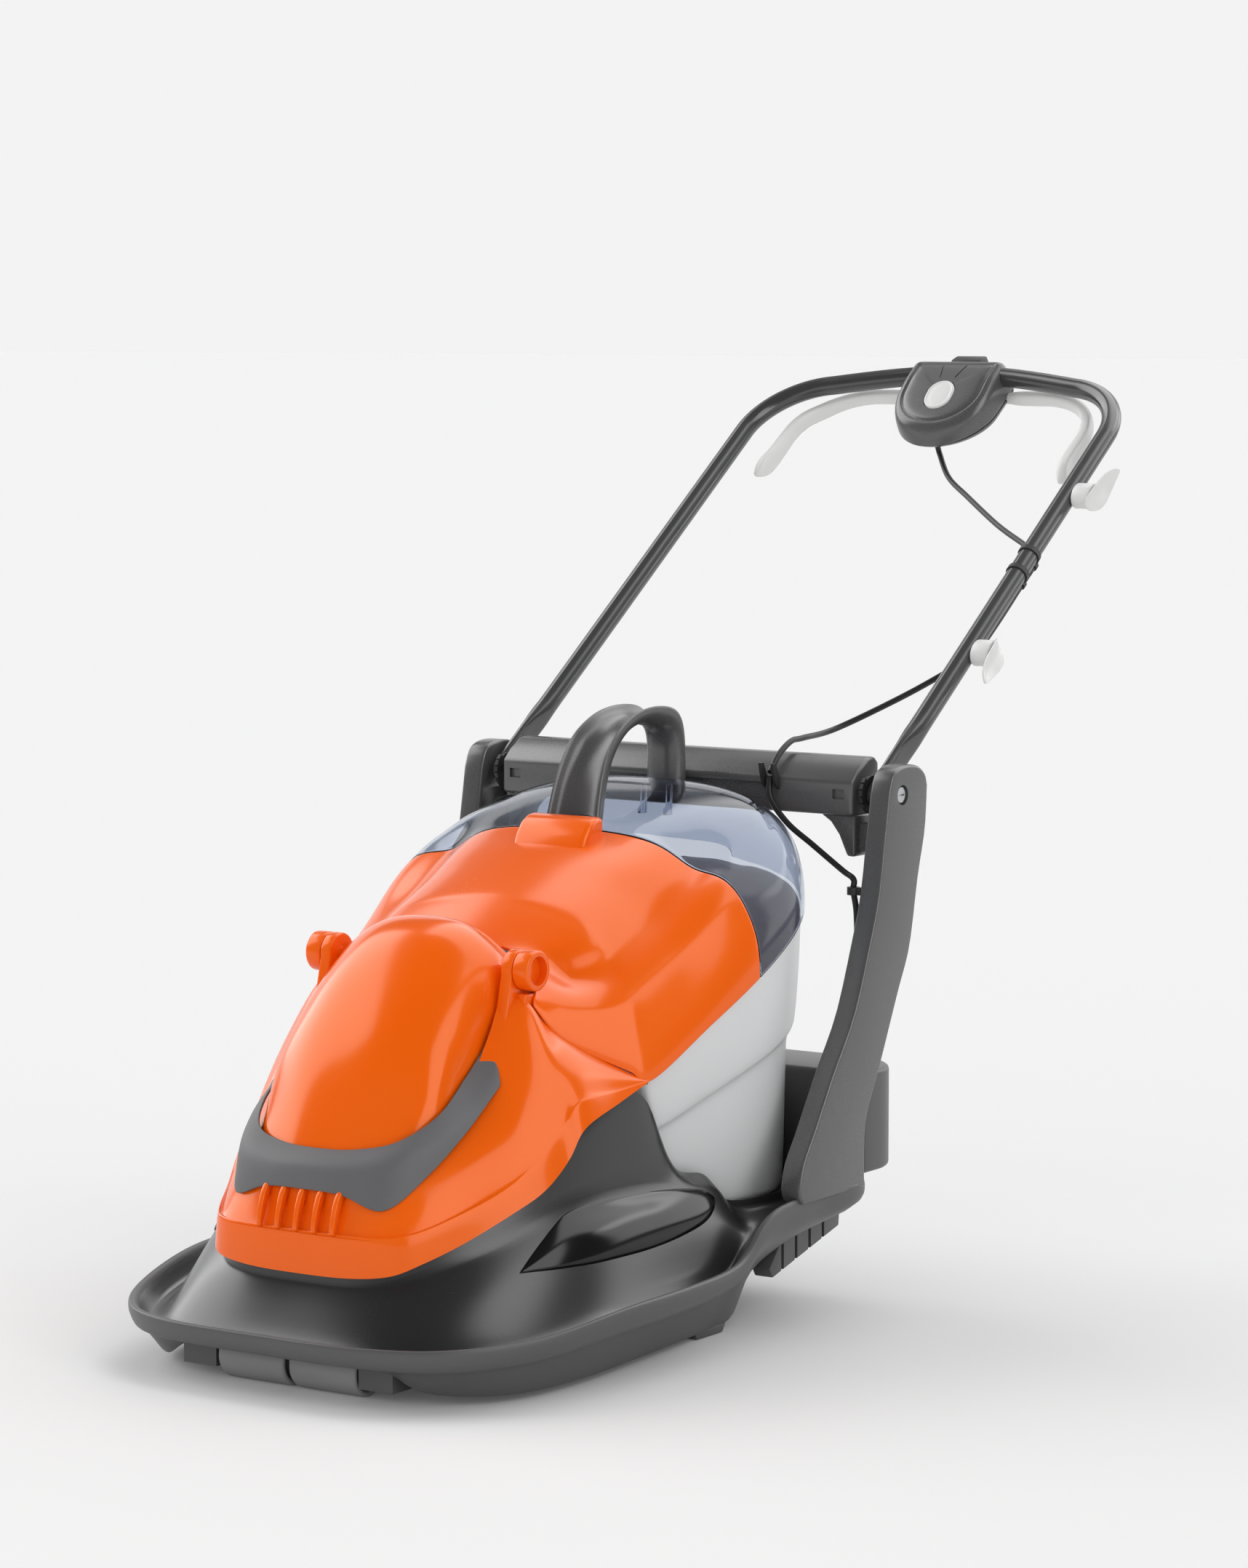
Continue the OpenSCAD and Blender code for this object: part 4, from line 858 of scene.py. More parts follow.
# orange cover over the motor, nose dome and grained trim
cover = {
    "wall": 2.6, "inside": (0, 40, 150), "net": (100, 30),
    "low": [(0, -193, 111), (60, -191, 112), (103, -182, 117), (124, -160, 127), (145, -120, 143),
            (170, -76, 167), (184, -40, 186), (190, -8, 212), (195, 12, 240), (200, 62, 258),
            (204.8, 108, 273.8)],
    "shoulder": [(0, -192, 150), (60, -190, 150), (101, -181, 151), (122, -158, 156), (143, -118, 170),
                 (166, -75, 190), (178, -40, 212), (184, -8, 240), (190, 13, 262), (197, 62, 267.5),
                 (205, 107.8, 274.2)],
    "middle": [(0, -182, 168), (56, -180, 168), (92, -170, 171), (115, -146, 181), (133, -106, 204),
               (149, -66, 232), (158, -35, 262), (164, -5, 290), (171, 20, 297), (187, 61, 286),
               (204.5, 107.8, 274.6)],
    "high": [(0, -174, 196), (50, -172, 196), (84, -161, 198), (102, -136, 208), (117, -96, 232),
             (125, -56, 266), (130, -25, 308), (131, 7, 353), (141.5, 26, 332.5), (169.5, 60, 303.5),
             (203.5, 108, 274)],
    "top": [(0, -167, 199), (48, -165, 199), (79, -153, 202), (96, -128, 213), (107.5, -92, 242),
            (108, -56, 286), (107, -24, 330), (107.5, 4, 366), (139.5, 27, 330), (167.5, 61, 301),
            (201.5, 109, 272)],
    "ledgeUp": 0.22, "ledgeLower": 0.12, "ledgeFurther": 0.13, "sharpUntil": 3, "sharpFade": 3,
    "ribs": 5, "ribPitch": 22, "ribSteps": 12,
    "ribHalf": 3.4, "ribNarrows": 1.0, "ribHigh": 5.0, "ribSinks": 2.5, "ribLean": 0.4,
    "ribLine": [(-163, 192), (-178, 190), (-186.5, 176), (-191.5, 160), (-193, 151)],
}
hinge = {
    "y": 18, "z": 388, "inner": 104, "armT": 13, "armR": 20, "cheekOut": 127, "gap": 0.6,
    "knobD": 40, "knobT": 18, "recessDeep": 9, "recessWall": 5.5,
    "armFoot": [(-26, -30), (-34, -66), (-10, -76), (22, -64), (24, -34)],
    "cheek": [(-10, -22), (10, -24), (22, -42), (24, -62), (4, -66), (-14, -48)],
}


# a step in the skirt, sharp over the nose and fading along the sides
def coverLedge():
    ledge = []
    for k, (a, b) in enumerate(zip(cover["shoulder"], cover["middle"])):
        sharp = 1 - eased((k - cover["sharpUntil"]) / cover["sharpFade"])
        a, b = Vector(a), Vector(b)
        level = a.z + (cover["ledgeUp"] - cover["ledgeLower"] * sharp) * (b.z - a.z)
        point = a + (cover["ledgeUp"] + cover["ledgeFurther"] * sharp) * (b - a)
        ledge.append((point.x, point.y, level))
    return ledge


def coverRib(x):
    section = ovalSection(2, 2, 16, 3.4)
    rows = []
    for i, p in enumerate(smoothLine([(x, y, z) for y, z in cover["ribLine"]], cover["ribSteps"])):
        run = (i / cover["ribSteps"]) ** 2
        half = cover["ribHalf"] - cover["ribNarrows"] * run
        high = cover["ribHigh"] - cover["ribSinks"] * run
        lean = cover["ribLean"]
        rows.append([p + Vector((half * u, v * high, -v * lean * high)) for u, v in section])
    return ringStack("coverRib", rows)


def fromHinge(points):
    return [(hinge["y"] + y, hinge["z"] + z) for y, z in points]


def coverHinge(side):
    x0, x1 = side * hinge["inner"], side * (hinge["inner"] + hinge["armT"])
    turn = [math.radians(a) for a in range(-20, 191, 15)]
    outline = fromHinge([(hinge["armR"] * math.cos(a), hinge["armR"] * math.sin(a)) for a in turn])
    return [across("coverArm", outline + fromHinge(hinge["armFoot"]), x0, x1, 2.2, 3, 50),
            across("coverCheek", fromHinge(hinge["cheek"]), x0, side * hinge["cheekOut"], 2, 3, 50)]


def makeCover():
    lines = {**cover, "ledge": coverLedge()}
    rows = [bothSides(lines[key]) for key in ("low", "shoulder", "ledge", "middle", "high", "top")]
    obj = shell("motorCover", net(rows, *cover["net"]), cover["inside"], cover["wall"])
    parts = [coverRib((k - (cover["ribs"] - 1) / 2) * cover["ribPitch"]) for k in range(cover["ribs"])]
    joined(obj, *parts, *coverHinge(1), *coverHinge(-1))
    finishPiece(obj, "satinOrange", "chassis", "motor_cover")


makeCover()

dome = {
    "wall": 2.6, "inside": (0, 0, 200), "net": (56, 40),
    "rows": [[(0, -163, 217), (28, -162, 218), (52, -157, 220), (73, -149, 224), (87, -139, 229)],
             [(0, -128, 300), (42, -124, 301), (76, -112, 296), (95, -104, 280), (102.6, -101, 248)],
             [(0, -80, 368), (44, -77, 366), (78, -68, 352), (97, -62, 325), (102.6, -61, 280)],
             [(0, -30, 414), (42, -28, 410), (74, -23, 393), (96, -20, 362), (103, -21, 314)],
             [(0, 14, 432), (40, 14, 428), (72, 14, 412), (96, 13, 386), (103.2, 11, 342)],
             [(0, 46, 424), (38, 46, 420), (68, 46, 405), (91, 45, 385), (98, 44, 350)],
             [(0, 70, 394), (36, 70, 390), (64, 68, 378), (85, 64, 360), (93, 60, 336)]],
}


def makeDome():
    rows = [bothSides(r) for r in dome["rows"]]
    obj = shell("noseDome", net(rows, *dome["net"]), dome["inside"], dome["wall"])
    finishPiece(obj, "glossOrange", "chassis", "nose_dome")


makeDome()

trim = {
    "wall": 2.6, "inside": (0, 0, 200), "net": (80, 12),
    "high": [(0, -161.6, 228), (45, -157.4, 230), (83.8, -142, 239), (104.8, -105, 261), (105, -62, 291),
             (104.8, -30, 317)],
    "crest": [(0, -180, 214), (46, -176, 214), (91, -160, 219), (116, -116, 240), (124, -70, 268),
              (123, -34, 302)],
    "low": [(0, -184, 191), (46, -182, 189), (90, -172, 177), (114, -132, 208), (127, -88, 245),
            (133, -42, 284)],
}


def makeTrim():
    rows = [bothSides(trim[key]) for key in ("low", "crest", "high")]
    obj = shell("noseTrim", net(rows, *trim["net"]), trim["inside"], trim["wall"])
    finishPiece(obj, "grainedTrim", "chassis", "nose_trim")


makeTrim()
print("covers made")

# lid: each row is centre station, roof height, edge station, half width, edge height, flank height
lid = {
    "wall": 3, "split": 6.25, "seam": 0.02, "angles": 72, "panelSteps": 56, "windowSteps": 64,
    "square": 2.5, "noseSquare": 2.12, "squareFrom": 4.6, "squareOver": 1.65, "flankPower": 8, "edgePower": 6,
    "rows": [(68, 404, 16, 131, 353, 360), (84, 414, 34, 150, 320, 344), (100, 424, 62, 172, 301, 331),
             (120, 436, 90, 194, 285, 322), (140, 447, 112, 206, 274.5, 319),
             (200, 474, 190, 223, 319.5, 331), (250, 492, 250, 233, 352.5, 352.5),
             (300, 512, 300, 236, 380, 380), (345, 526, 340, 232, 402, 402),
             (385, 534, 370, 220, 418.5, 418.5), (415, 536, 395, 200, 432.5, 432.5),
             (432, 528, 413, 172, 442.5, 442.5), (441, 506, 428, 130, 450.5, 450.5),
             (445, 472, 437, 90, 455.5, 455.5)],
    "valley": [(0, 51), (2.1, 54), (4.2, 46), (6.3, 36)],
    "ridge": [(0, 74), (2.1, 69), (4.2, 60), (6.3, 54)],
    "crease": [(6.2, 54), (7.5, 53), (8.8, 46), (10.1, 31), (11.4, 0)],
    "valleyDeep": 12, "ridgeHigh": 3.5, "spread": 10, "fadeIn": 1.6, "fadeEnd": 7.5, "fadeOver": 1.3,
    "stepHigh": 1.4, "stepSoft": 4, "stepIn": 0.6, "stepEnd": 11.6, "stepOut": 0.4,
    "panelInside": (0, 150, 250), "windowInside": (0, 330, 400),
    "tabHalf": 44, "tabEdge": 6, "catchAt": (-19, 13), "catchWide": 6,
    "tab": [(222, 474), (230, 492), (240, 505), (252, 511), (266, 511), (266, 486)],
    "catch": [(424, 528), (424, 506), (419, 502), (419, 497), (429, 497), (429, 528)],
}


# the section grows squarer towards the window
def lidPoint(t, angle):
    yc, top, ye, half, edge, flank = along(lid["rows"], t)
    grown = eased((t - lid["squareFrom"]) / lid["squareOver"])
    square = lid["noseSquare"] + (lid["square"] - lid["noseSquare"]) * grown
    s = abs(math.sin(math.radians(angle))) ** (2 / square)
    c = max(math.cos(math.radians(angle)), 0) ** (2 / square)
    z = flank + (top - flank) * c + (edge - flank) * s ** lid["flankPower"]
    return Vector((half * s * (1 if angle > 0 else -1), yc + (ye - yc) * s ** lid["edgePower"], z))


# angle of a line on the lid, given at even steps of t
def angleOf(line, t):
    (first, _), (last, _) = line[0], line[-1]
    return along(line, (min(max(t, first), last) - first) / (last - first) * (len(line) - 1))[1]


# a rounded bump round a line on the lid
def bumpOn(line, t, angle):
    return math.exp(-((angle - angleOf(line, t)) / lid["spread"]) ** 2)


# a valley and a ridge run from each knob to the window, and a low step runs on over it
def sculpted(t, angle):
    eps, last = 0.05, len(lid["rows"]) - 1
    du = lidPoint(t, min(angle + 1, 89)) - lidPoint(t, max(angle - 1, -89))
    dv = lidPoint(min(t + eps, last), angle) - lidPoint(max(t - eps, 0), angle)
    out = du.cross(dv).normalized()
    if out.z < 0:
        out = -out
    a = abs(angle)
    fade = eased(t / lid["fadeIn"]) * eased((lid["fadeEnd"] - t) / lid["fadeOver"])
    fold = lid["ridgeHigh"] * bumpOn(lid["ridge"], t, a) - lid["valleyDeep"] * bumpOn(lid["valley"], t, a)
    step = eased((angleOf(lid["crease"], t) - a) / lid["stepSoft"] + 0.5)
    step *= eased((t - lid["split"]) / lid["stepIn"]) * eased((lid["stepEnd"] - t) / lid["stepOut"])
    return lidPoint(t, angle) + out * (fade * fold + lid["stepHigh"] * step)


def lidRows(start, end, steps):
    angles = [-90 + 180 * k / lid["angles"] for k in range(lid["angles"] + 1)]
    return [[sculpted(start + (end - start) * k / steps, a) for a in angles] for k in range(steps + 1)]


def lidKnob(side):
    x0 = side * (hinge["inner"] + hinge["armT"] + hinge["gap"])
    x1 = x0 + side * hinge["knobT"]
    recessD = hinge["knobD"] - 2 * hinge["recessWall"]
    knob = rodAcross("lidKnob", x0, x1, hinge["y"], hinge["z"], hinge["knobD"], 2.2)
    return cutBy(knob, rodAcross("knobRecess", x1 - side * hinge["recessDeep"], x1 + side * cutPast,
                                 hinge["y"], hinge["z"], recessD))


def makeLidPanel():
    obj = shell("lidPanel", lidRows(0, lid["split"], lid["panelSteps"]), lid["panelInside"], lid["wall"])
    tab = across("lidTab", lid["tab"], -lid["tabHalf"], lid["tabHalf"], lid["tabEdge"], 4, 20)
    joined(obj, tab, lidKnob(1), lidKnob(-1))
    finishPiece(obj, "satinOrange", "lid", "lid_panel")


def makeLidWindow():
    rows = lidRows(lid["split"] + lid["seam"], len(lid["rows"]) - 1, lid["windowSteps"])
    obj = shell("lidWindow", rows, lid["windowInside"], lid["wall"])
    wide = lid["catchWide"]
    joined(obj, *[across("windowCatch", lid["catch"], x, x + wide, 0.8, 2) for x in lid["catchAt"]])
    finishPiece(obj, "clearWindow", "lid", "lid_window")


makeLidPanel()
makeLidWindow()

# carry handle: an open channel between an outer and an inner line; skin and channel are half sections
carry = {
    "half": 22.5, "flare": 0.5, "steps": 48,
    "skin": [(1, 0), (1, 0.20), (0.95, 0.42), (0.82, 0.68), (0.55, 0.92), (0, 1)],
    "channel": [(0, 0.68), (0.45, 0.64), (0.76, 0.46), (0.88, 0.06), (0.94, -0.03)],
    "outer": [(267, 496), (282, 545), (306, 584), (342, 606), (380, 614), (418, 612), (439, 601),
              (448, 576), (449, 526)],
    "inner": [(430, 530), (430, 567), (420, 586), (397, 593), (380, 595), (350, 587), (326, 568),
              (308, 542), (297, 509)],
}


def makeCarryHandle():
    steps = carry["steps"]
    outer = smoothLine(carry["outer"], steps)
    inner = smoothLine(carry["inner"], steps)[::-1]
    skin, channel = ([(carry["half"] * x, v) for x, v in carry[key]] for key in ("skin", "channel"))
    ring = skin + [(-x, v) for x, v in skin[-2::-1]] + [(-x, v) for x, v in channel[::-1]]
    ring += channel[1:] + skin[:1]
    rows = []
    for k, (o, i) in enumerate(zip(outer, inner)):
        flare = 1 + carry["flare"] * (1 - k / steps) ** 3
        rows.append([(x * flare, *(o + v * (i - o))) for x, v in ring])
    obj = ringStack("carryHandle", rows)
    finishPiece(obj, "armCharcoal", "lid", "carry_handle")


makeCarryHandle()
print("lid made")

# grass box with a flared upper band
grassBox = {
    "wall": 2.6, "floorZ": 124.4, "steps": 44, "inside": (0, 270, 260), "floorY": 290, "sharp": 45,
    "rimZ": 276, "rimY": 111, "rimSlope": 0.55, "rimGap": 0.6, "footHigh": 14,
    "bands": [(0, 0), (0.03, 0), (0.26, -2), (0.40, -1.2), (0.425, 0), (0.44, 4.9), (0.47, 7), (0.6, 5.6),
              (0.8, 2.8), (0.97, 0.4)],  # share of the way down, and how far in
    "corner": [(7, 2), (2, 7), (0, 16)],  # height over the floor, and how far in
    "mouth": [(0, 106), (110, 106), (186, 109), (203, 124), (219, 190), (229, 250), (232, 300), (228, 340),
              (216, 370), (196, 394), (163, 414), (110, 429), (0, 435)],
    "floor": [(0, 164), (90, 164), (158, 168), (176, 188), (184, 230), (195, 272), (203, 312), (204, 340),
              (198, 364), (182, 384), (150, 400), (98, 408), (0, 410)],
}


def rimHeight(y):
    return grassBox["rimZ"] + grassBox["rimSlope"] * (y - grassBox["rimY"]) - grassBox["rimGap"]


def boxRing(t, push, level=None):
    points = []
    for top, low in zip(grassBox["mouth"], grassBox["floor"]):
        x, y = top[0] + t * (low[0] - top[0]), top[1] + t * (low[1] - top[1])
        z0 = rimHeight(top[1])
        z = z0 + t * (grassBox["floorZ"] + grassBox["footHigh"] - z0) if level is None else level
        points.append(inward((x, y, z), push))
    return fullRing(smoothLine(points, grassBox["steps"]))


def makeGrassBox():
    low = grassBox["floorZ"]
    rows = [boxRing(t, push) for t, push in grassBox["bands"]]
    rows += [boxRing(1, push, low + up) for up, push in grassBox["corner"]]
    floorMiddle = [Vector((0, grassBox["floorY"], low))] * len(rows[0])
    rows += [mixed(rows[-1], floorMiddle, 0.5), floorMiddle]
    obj = gridPiece("grassBox", rows)
    weld(obj)
    facesAway(obj, place(grassBox["inside"]))
    applied(obj, "SOLIDIFY", thickness=grassBox["wall"] * mm, offset=-1)
    subdivided(obj, 1)
    finishPiece(obj, "boxGrey", "chassis", "grass_box", grassBox["sharp"])


makeGrassBox()
print("grass box made")

# rear arms and crossbeam
arm = {
    "in": 246, "thick": 24, "skin": 6, "edge": 5, "screwD": 21, "screwDeep": 6, "rodD": 8.2,
    "steps": {"front": 30, "top": 18, "rear": 28},
    "front": [(290, 129), (283, 142), (289, 168), (311, 200), (346, 253), (386, 309), (416, 378),
              (433, 425), (443, 475), (453, 531)],
    "top": [(453, 531), (460, 548), (472, 556), (492, 558.5), (512, 556), (526, 547), (531, 535)],
    "rear": [(531, 535), (527, 489), (513, 439), (497, 369), (474, 323), (438, 250), (414, 205), (409, 175),
             (409, 129)],
    "core": [(302, 150), (322, 206), (354, 257), (394, 313), (423, 381), (440, 428), (450, 477), (456, 508),
             (520, 508), (521, 489), (507, 440), (491, 371), (468, 326), (432, 253), (408, 207), (403, 178),
             (403, 150)],
}


def makeArms():
    outline = []
    for key, steps in arm["steps"].items():
        outline += [tuple(p) for p in smoothLine(arm[key], steps)][:-1]
    outline.append(arm["rear"][-1])
    x0, x1 = arm["in"], arm["in"] + arm["thick"]
    y, z = handlePivot["y"], handlePivot["z"]
    right = across("rightArm", outline, x0, x1, arm["edge"], 4, 40)
    cutBy(right, across("armCore", arm["core"], x0 - 2, x1 - arm["skin"]))
    cutBy(right, rodAcross("screwRecess", x1 - arm["screwDeep"], x1 + 6, y, z, arm["screwD"]))
    cutBy(right, rodAcross("rodBore", x0 - 4, x1 + 4, y, z, arm["rodD"]))
    left = mirrored(right, "leftArm")
    finishPiece(right, "armCharcoal", "chassis", "right_arm")
    finishPiece(left, "armCharcoal", "chassis", "left_arm")


makeArms()

beam = {
    "half": 222, "edge": 4, "cutFrom": 452, "recessX": 123, "recessZ": 526, "recessR": 9, "recessDeep": 13,
    "slotDeep": 10, "slot": [(198, 522), (212, 522), (212, 532), (198, 532)],
    "bracketY": 464, "bracketDeep": 32, "bracketEdge": 3, "lugSink": 4,
    "section": [(458, 505), (458, 541), (470, 552), (490, 563), (504, 564), (512, 558), (512, 515),
                (500, 505)],
    "bracket": [(178, 506), (192, 497), (202, 484), (212, 462), (222, 462), (222, 506)],
    "lug": [(472, 466), (506, 466), (514, 480), (510, 498), (474, 498)],
}


# cuts a (across, up) outline into the beam's front
def cutBeam(obj, outline, deep):
    face = [(x, beam["cutFrom"], z) for x, z in outline]
    cutBy(obj, outlinePiece("beamCutter", face, (0, deep, 0)))


def makeCrossbeam():
    half, r, edge = beam["half"], beam["recessR"], beam["bracketEdge"]
    obj = across("crossbeam", beam["section"], -half, half, beam["edge"], 4, 20)
    turn = [math.radians(a) for a in range(-90, 91, 15)]
    cutBeam(obj, [(side * beam["recessX"] + side * r * math.cos(a), beam["recessZ"] + side * r * math.sin(a))
                  for side in (1, -1) for a in turn], beam["recessDeep"])
    for side in (1, -1):
        cutBeam(obj, [(side * x, z) for x, z in beam["slot"]], beam["slotDeep"])
    parts = []
    for side in (1, -1):
        web = [(side * x, beam["bracketY"], z) for x, z in beam["bracket"]]
        parts.append(outlinePiece("beamBracket", web, (0, beam["bracketDeep"], 0), place, edge))
        parts.append(across("beamLug", beam["lug"], side * (half - beam["lugSink"]), side * arm["in"], edge))
    joined(obj, *parts)
    finishPiece(obj, "armCharcoal", "chassis", "crossbeam")


makeCrossbeam()
print("rear frame made")


# handle: round tube, flattened at its pivot eyes
def handlePath():
    x, r, turn, legLen = tube["legX"], tube["bendR"], tube["turn"], tube["legLen"]
    start, legSteps = tube["straightFrom"], tube["legSteps"]
    barX = x - r + r * math.cos(turn)
    barS = legLen + r * math.sin(turn)
    crown = barS + barX / math.tan(turn)
    right = [(x, s, 0) for s in (*tube["eyeStations"], start)]
    right += [(x, start + (legLen - start) * k / legSteps, 0) for k in range(1, legSteps + 1)]
    for k in range(1, tube["bendSteps"] + 1):
        a = turn * k / tube["bendSteps"]
        right.append((x - r + r * math.cos(a), legLen + r * math.sin(a), 0))
    for k in range(1, tube["barSteps"]):
        t = k / tube["barSteps"]
        right.append((barX * (1 - t), barS + (crown - barS) * math.sin(t * math.pi / 2), 0))
    return [Vector(p) for p in right] + [Vector((0, crown, 0))] + [flipped(p) for p in right[::-1]]


def makeTube():
    path = handlePath()
    d = tube["d"]
    sections = []
    for p in path:
        flat = 1 - eased((p.y - tube["flatFrom"]) / tube["flatOver"])
        wide, high = d + (tube["eyeT"] - d) * flat, d + (tube["eyeW"] - d) * flat
        if p.y < 0:
            high = 2 * math.sqrt(max(tube["eyeR"] ** 2 - p.y ** 2, 1))
        sections.append(ovalSection(wide, high, tube["sides"], 2 + 3 * flat))
    obj = sweptBar("handleTube", path, sections)
    finishPiece(obj, "tubePaint", "upper_handle", "handle_tube", 50)


makeTube()

# switch box: rows of the base and foot are inset, nose and height; the top's are inset, nose, sink and share
switchBox = {
    "r": 62, "mid": 672, "back": 729, "seam": -22, "corner": 12,
    "roof": [(607, -15), (612, -6), (624, 2.5), (692, 14.6), (723, 15), (735, 15)],
    "base": [(24, 34, -32.6), (10, 45, -32.2), (4, 52, -30.5), (1.4, 58, -27), (0.3, 62, -22.8),
             (1.6, 61, -22.3)],
    "foot": [(1.6, 61.5, -21.9), (0.2, 63, -21.2)],
    "top": [(0, 65, 30, 0.35), (0.4, 63.5, 12, 1), (2.2, 60.5, 5.5, 1), (5, 55.5, 1.8, 1),
            (8.5, 50, 0.4, 1), (11, 47, 0.2, 1), (12, 46, 1.5, 1), (13.2, 44.8, 1.5, 1),
            (14.4, 43.6, -0.6, 1), (20, 38, -1.0, 1), (32, 28, -1.2, 1), (46, 14, -1.2, 1)],
    "groove": [(9, 691), (10.6, 690.4), (17.4, 719), (16, 720)], "grooveDeep": 0.4,
    "screws": [(-26, 648), (26, 648), (-40, 696), (40, 696)], "screwD": 6.4, "screwN": -33.2, "screwT": 4,
    "inletHalf": 20, "inlet": [(0, -9), (1, 5), (9, 6), (22, 2), (22, -8)], "inletSink": 1,
}
button = {
    "s": 664, "len": 42, "wide": 35, "foot": -4.6, "proud": 2.8, "play": 0.7, "pocketN": -16,
    "crown": [(0, 1.8), (0.5, 0.6), (1.6, 0), (2.8, 0), (3.4, 0.6), (4.4, 0.8), (7, 0.4), (10, 0.2)],
}


def buttonPlan(inset, count=48):
    length, wide = button["len"] - 2 * inset, button["wide"] - 2 * inset
    points = []
    for k in range(count):
        a = 2 * math.pi * k / count
        middle = (length - wide) / 2 * (1 if k < count / 2 else -1)
        points.append((wide / 2 * math.cos(a), middle + wide / 2 * math.sin(a)))
    return points + points[:1]


def boxPlan(inset, nose):
    r, mid, back = switchBox["r"] - inset, switchBox["mid"], switchBox["back"] - inset
    corner = max(switchBox["corner"] - inset, 2)
    points = [(r, mid + (back - corner - mid) * k / 6) for k in range(6)]
    points += [(r - corner + corner * math.cos(a), back - corner + corner * math.sin(a))
               for a in (math.radians(d) for d in range(0, 91, 18))]
    side = points[::-1]
    points += [((r - corner) * (1 - 2 * k / 8), back) for k in range(1, 8)]
    points += [(-x, s) for x, s in side]
    turn = [math.radians(d) for d in range(186, 355, 6)]
    points += [(r * math.cos(a), mid + nose * math.sin(a)) for a in turn]
    return points + points[:1]


def boxTop(s):
    return onLine(switchBox["roof"], s)


def flatRows(rows):
    return [[Vector((x, s, n)) for x, s in boxPlan(inset, nose)] for inset, nose, n in rows]


def makeSwitchBox():
    seam = switchBox["seam"]
    obj = ringStack("switchBoxBase", flatRows(switchBox["base"]), onHandle)
    finishPiece(obj, "armCharcoal", "upper_handle", "switch_box_base")
    rows = flatRows(switchBox["foot"])
    for inset, nose, sink, share in switchBox["top"]:
        row = []
        for x, s in boxPlan(inset, nose):
            n = max(boxTop(s) - sink, seam + 2)
            row.append(Vector((x, s, seam + (n - seam) * share)))
        rows.append(row)
    obj = ringStack("switchBoxTop", rows, onHandle)
    pocket = [(x, button["s"] + v, button["pocketN"]) for x, v in buttonPlan(-button["play"])[:-1]]
    cutBy(obj, outlinePiece("buttonPocket", pocket, (0, 0, 60), onHandle))
    for side in (1, -1):
        groove = [(side * x, s, boxTop(s) - switchBox["grooveDeep"]) for x, s in switchBox["groove"]]
        cutBy(obj, outlinePiece("boxGroove", groove, (0, 0, 20), onHandle))
    finishPiece(obj, "armCharcoal", "upper_handle", "switch_box_top")


makeSwitchBox()


def makeButton():
    mid, foot = button["s"], button["foot"]
    rows = []
    for inset, n in ((2, foot), (0, foot + 1)):
        rows.append([Vector((x, mid + s, n)) for x, s in buttonPlan(inset)])
    for inset, sink in button["crown"]:
        up = button["proud"] - sink
        rows.append([Vector((x, mid + s, boxTop(mid + s) + up)) for x, s in buttonPlan(inset)])
    obj = ringStack("lockOffButton", rows, onHandle)
    finishPiece(obj, "palePlastic", "lock_off_button", "lock_off_button")


makeButton()


def makeBoxScrews():
    r, n = switchBox["screwD"] / 2, switchBox["screwN"]
    turn = [k * math.pi / 12 for k in range(24)]
    heads = []
    for x, s in switchBox["screws"]:
        ring = [(x + r * math.cos(a), s + r * math.sin(a), n) for a in turn]
        heads.append(outlinePiece("boxScrew", ring, (0, 0, switchBox["screwT"]), onHandle, 0.5, 2, 50))
    obj = gathered("boxScrews", heads)
    finishPiece(obj, "zincSteel", "upper_handle", "box_screws")


makeBoxScrews()


def makeInlet():
    back, half = switchBox["back"] - switchBox["inletSink"], switchBox["inletHalf"]
    outline = [(-half, back + s, n) for s, n in switchBox["inlet"]]
    obj = outlinePiece("supplyInlet", outline, (2 * half, 0, 0), onHandle, 2)
    finishPiece(obj, "motorBlack", "upper_handle", "supply_inlet")


makeInlet()

# levers: a straight root, a bend and a paddle, whose tip and heights are given from the bend's end
lever = {
    "s": 705, "n": -21, "sink": 4, "sinkFrom": 172, "sinkOver": 20, "turnX": 110, "bend": 84, "bendSteps": 16,
    "wide": 13, "high": 17, "rootWide": 10, "rootHigh": 12, "growFrom": 60, "growOver": 16,
    "swell": 2, "swellFrom": 150, "swellOver": 30, "fullHigh": 16,
    "root": (42, 50, 58, 64, 70, 80, 96, 110),
    "tip": [(194, -14), (194, -28), (194.6, -40), (196, -50), (197.6, -58), (199, -65), (200.4, -71),
            (201, -74)],
    "paddle": [(-74, 3), (-71, 8), (-65, 16), (-56, 24), (-48, 25), (-34, 21), (0, 21)],
}


def leverPath():
    s, bend, steps = lever["s"], lever["bend"], lever["bendSteps"]
    path = [(x, s) for x in lever["root"]]
    for k in range(1, steps + 1):
        a = math.radians(90 - 90 * k / steps)
        path.append((lever["turnX"] + bend * math.cos(a), s - bend + bend * math.sin(a)))
    path += [(x, s - bend + v) for x, v in lever["tip"]]
    low = [1 - eased((x - lever["sinkFrom"]) / lever["sinkOver"]) for x, v in path]
    return [(x, v, lever["n"] - lever["sink"] * share) for (x, v), share in zip(path, low)]


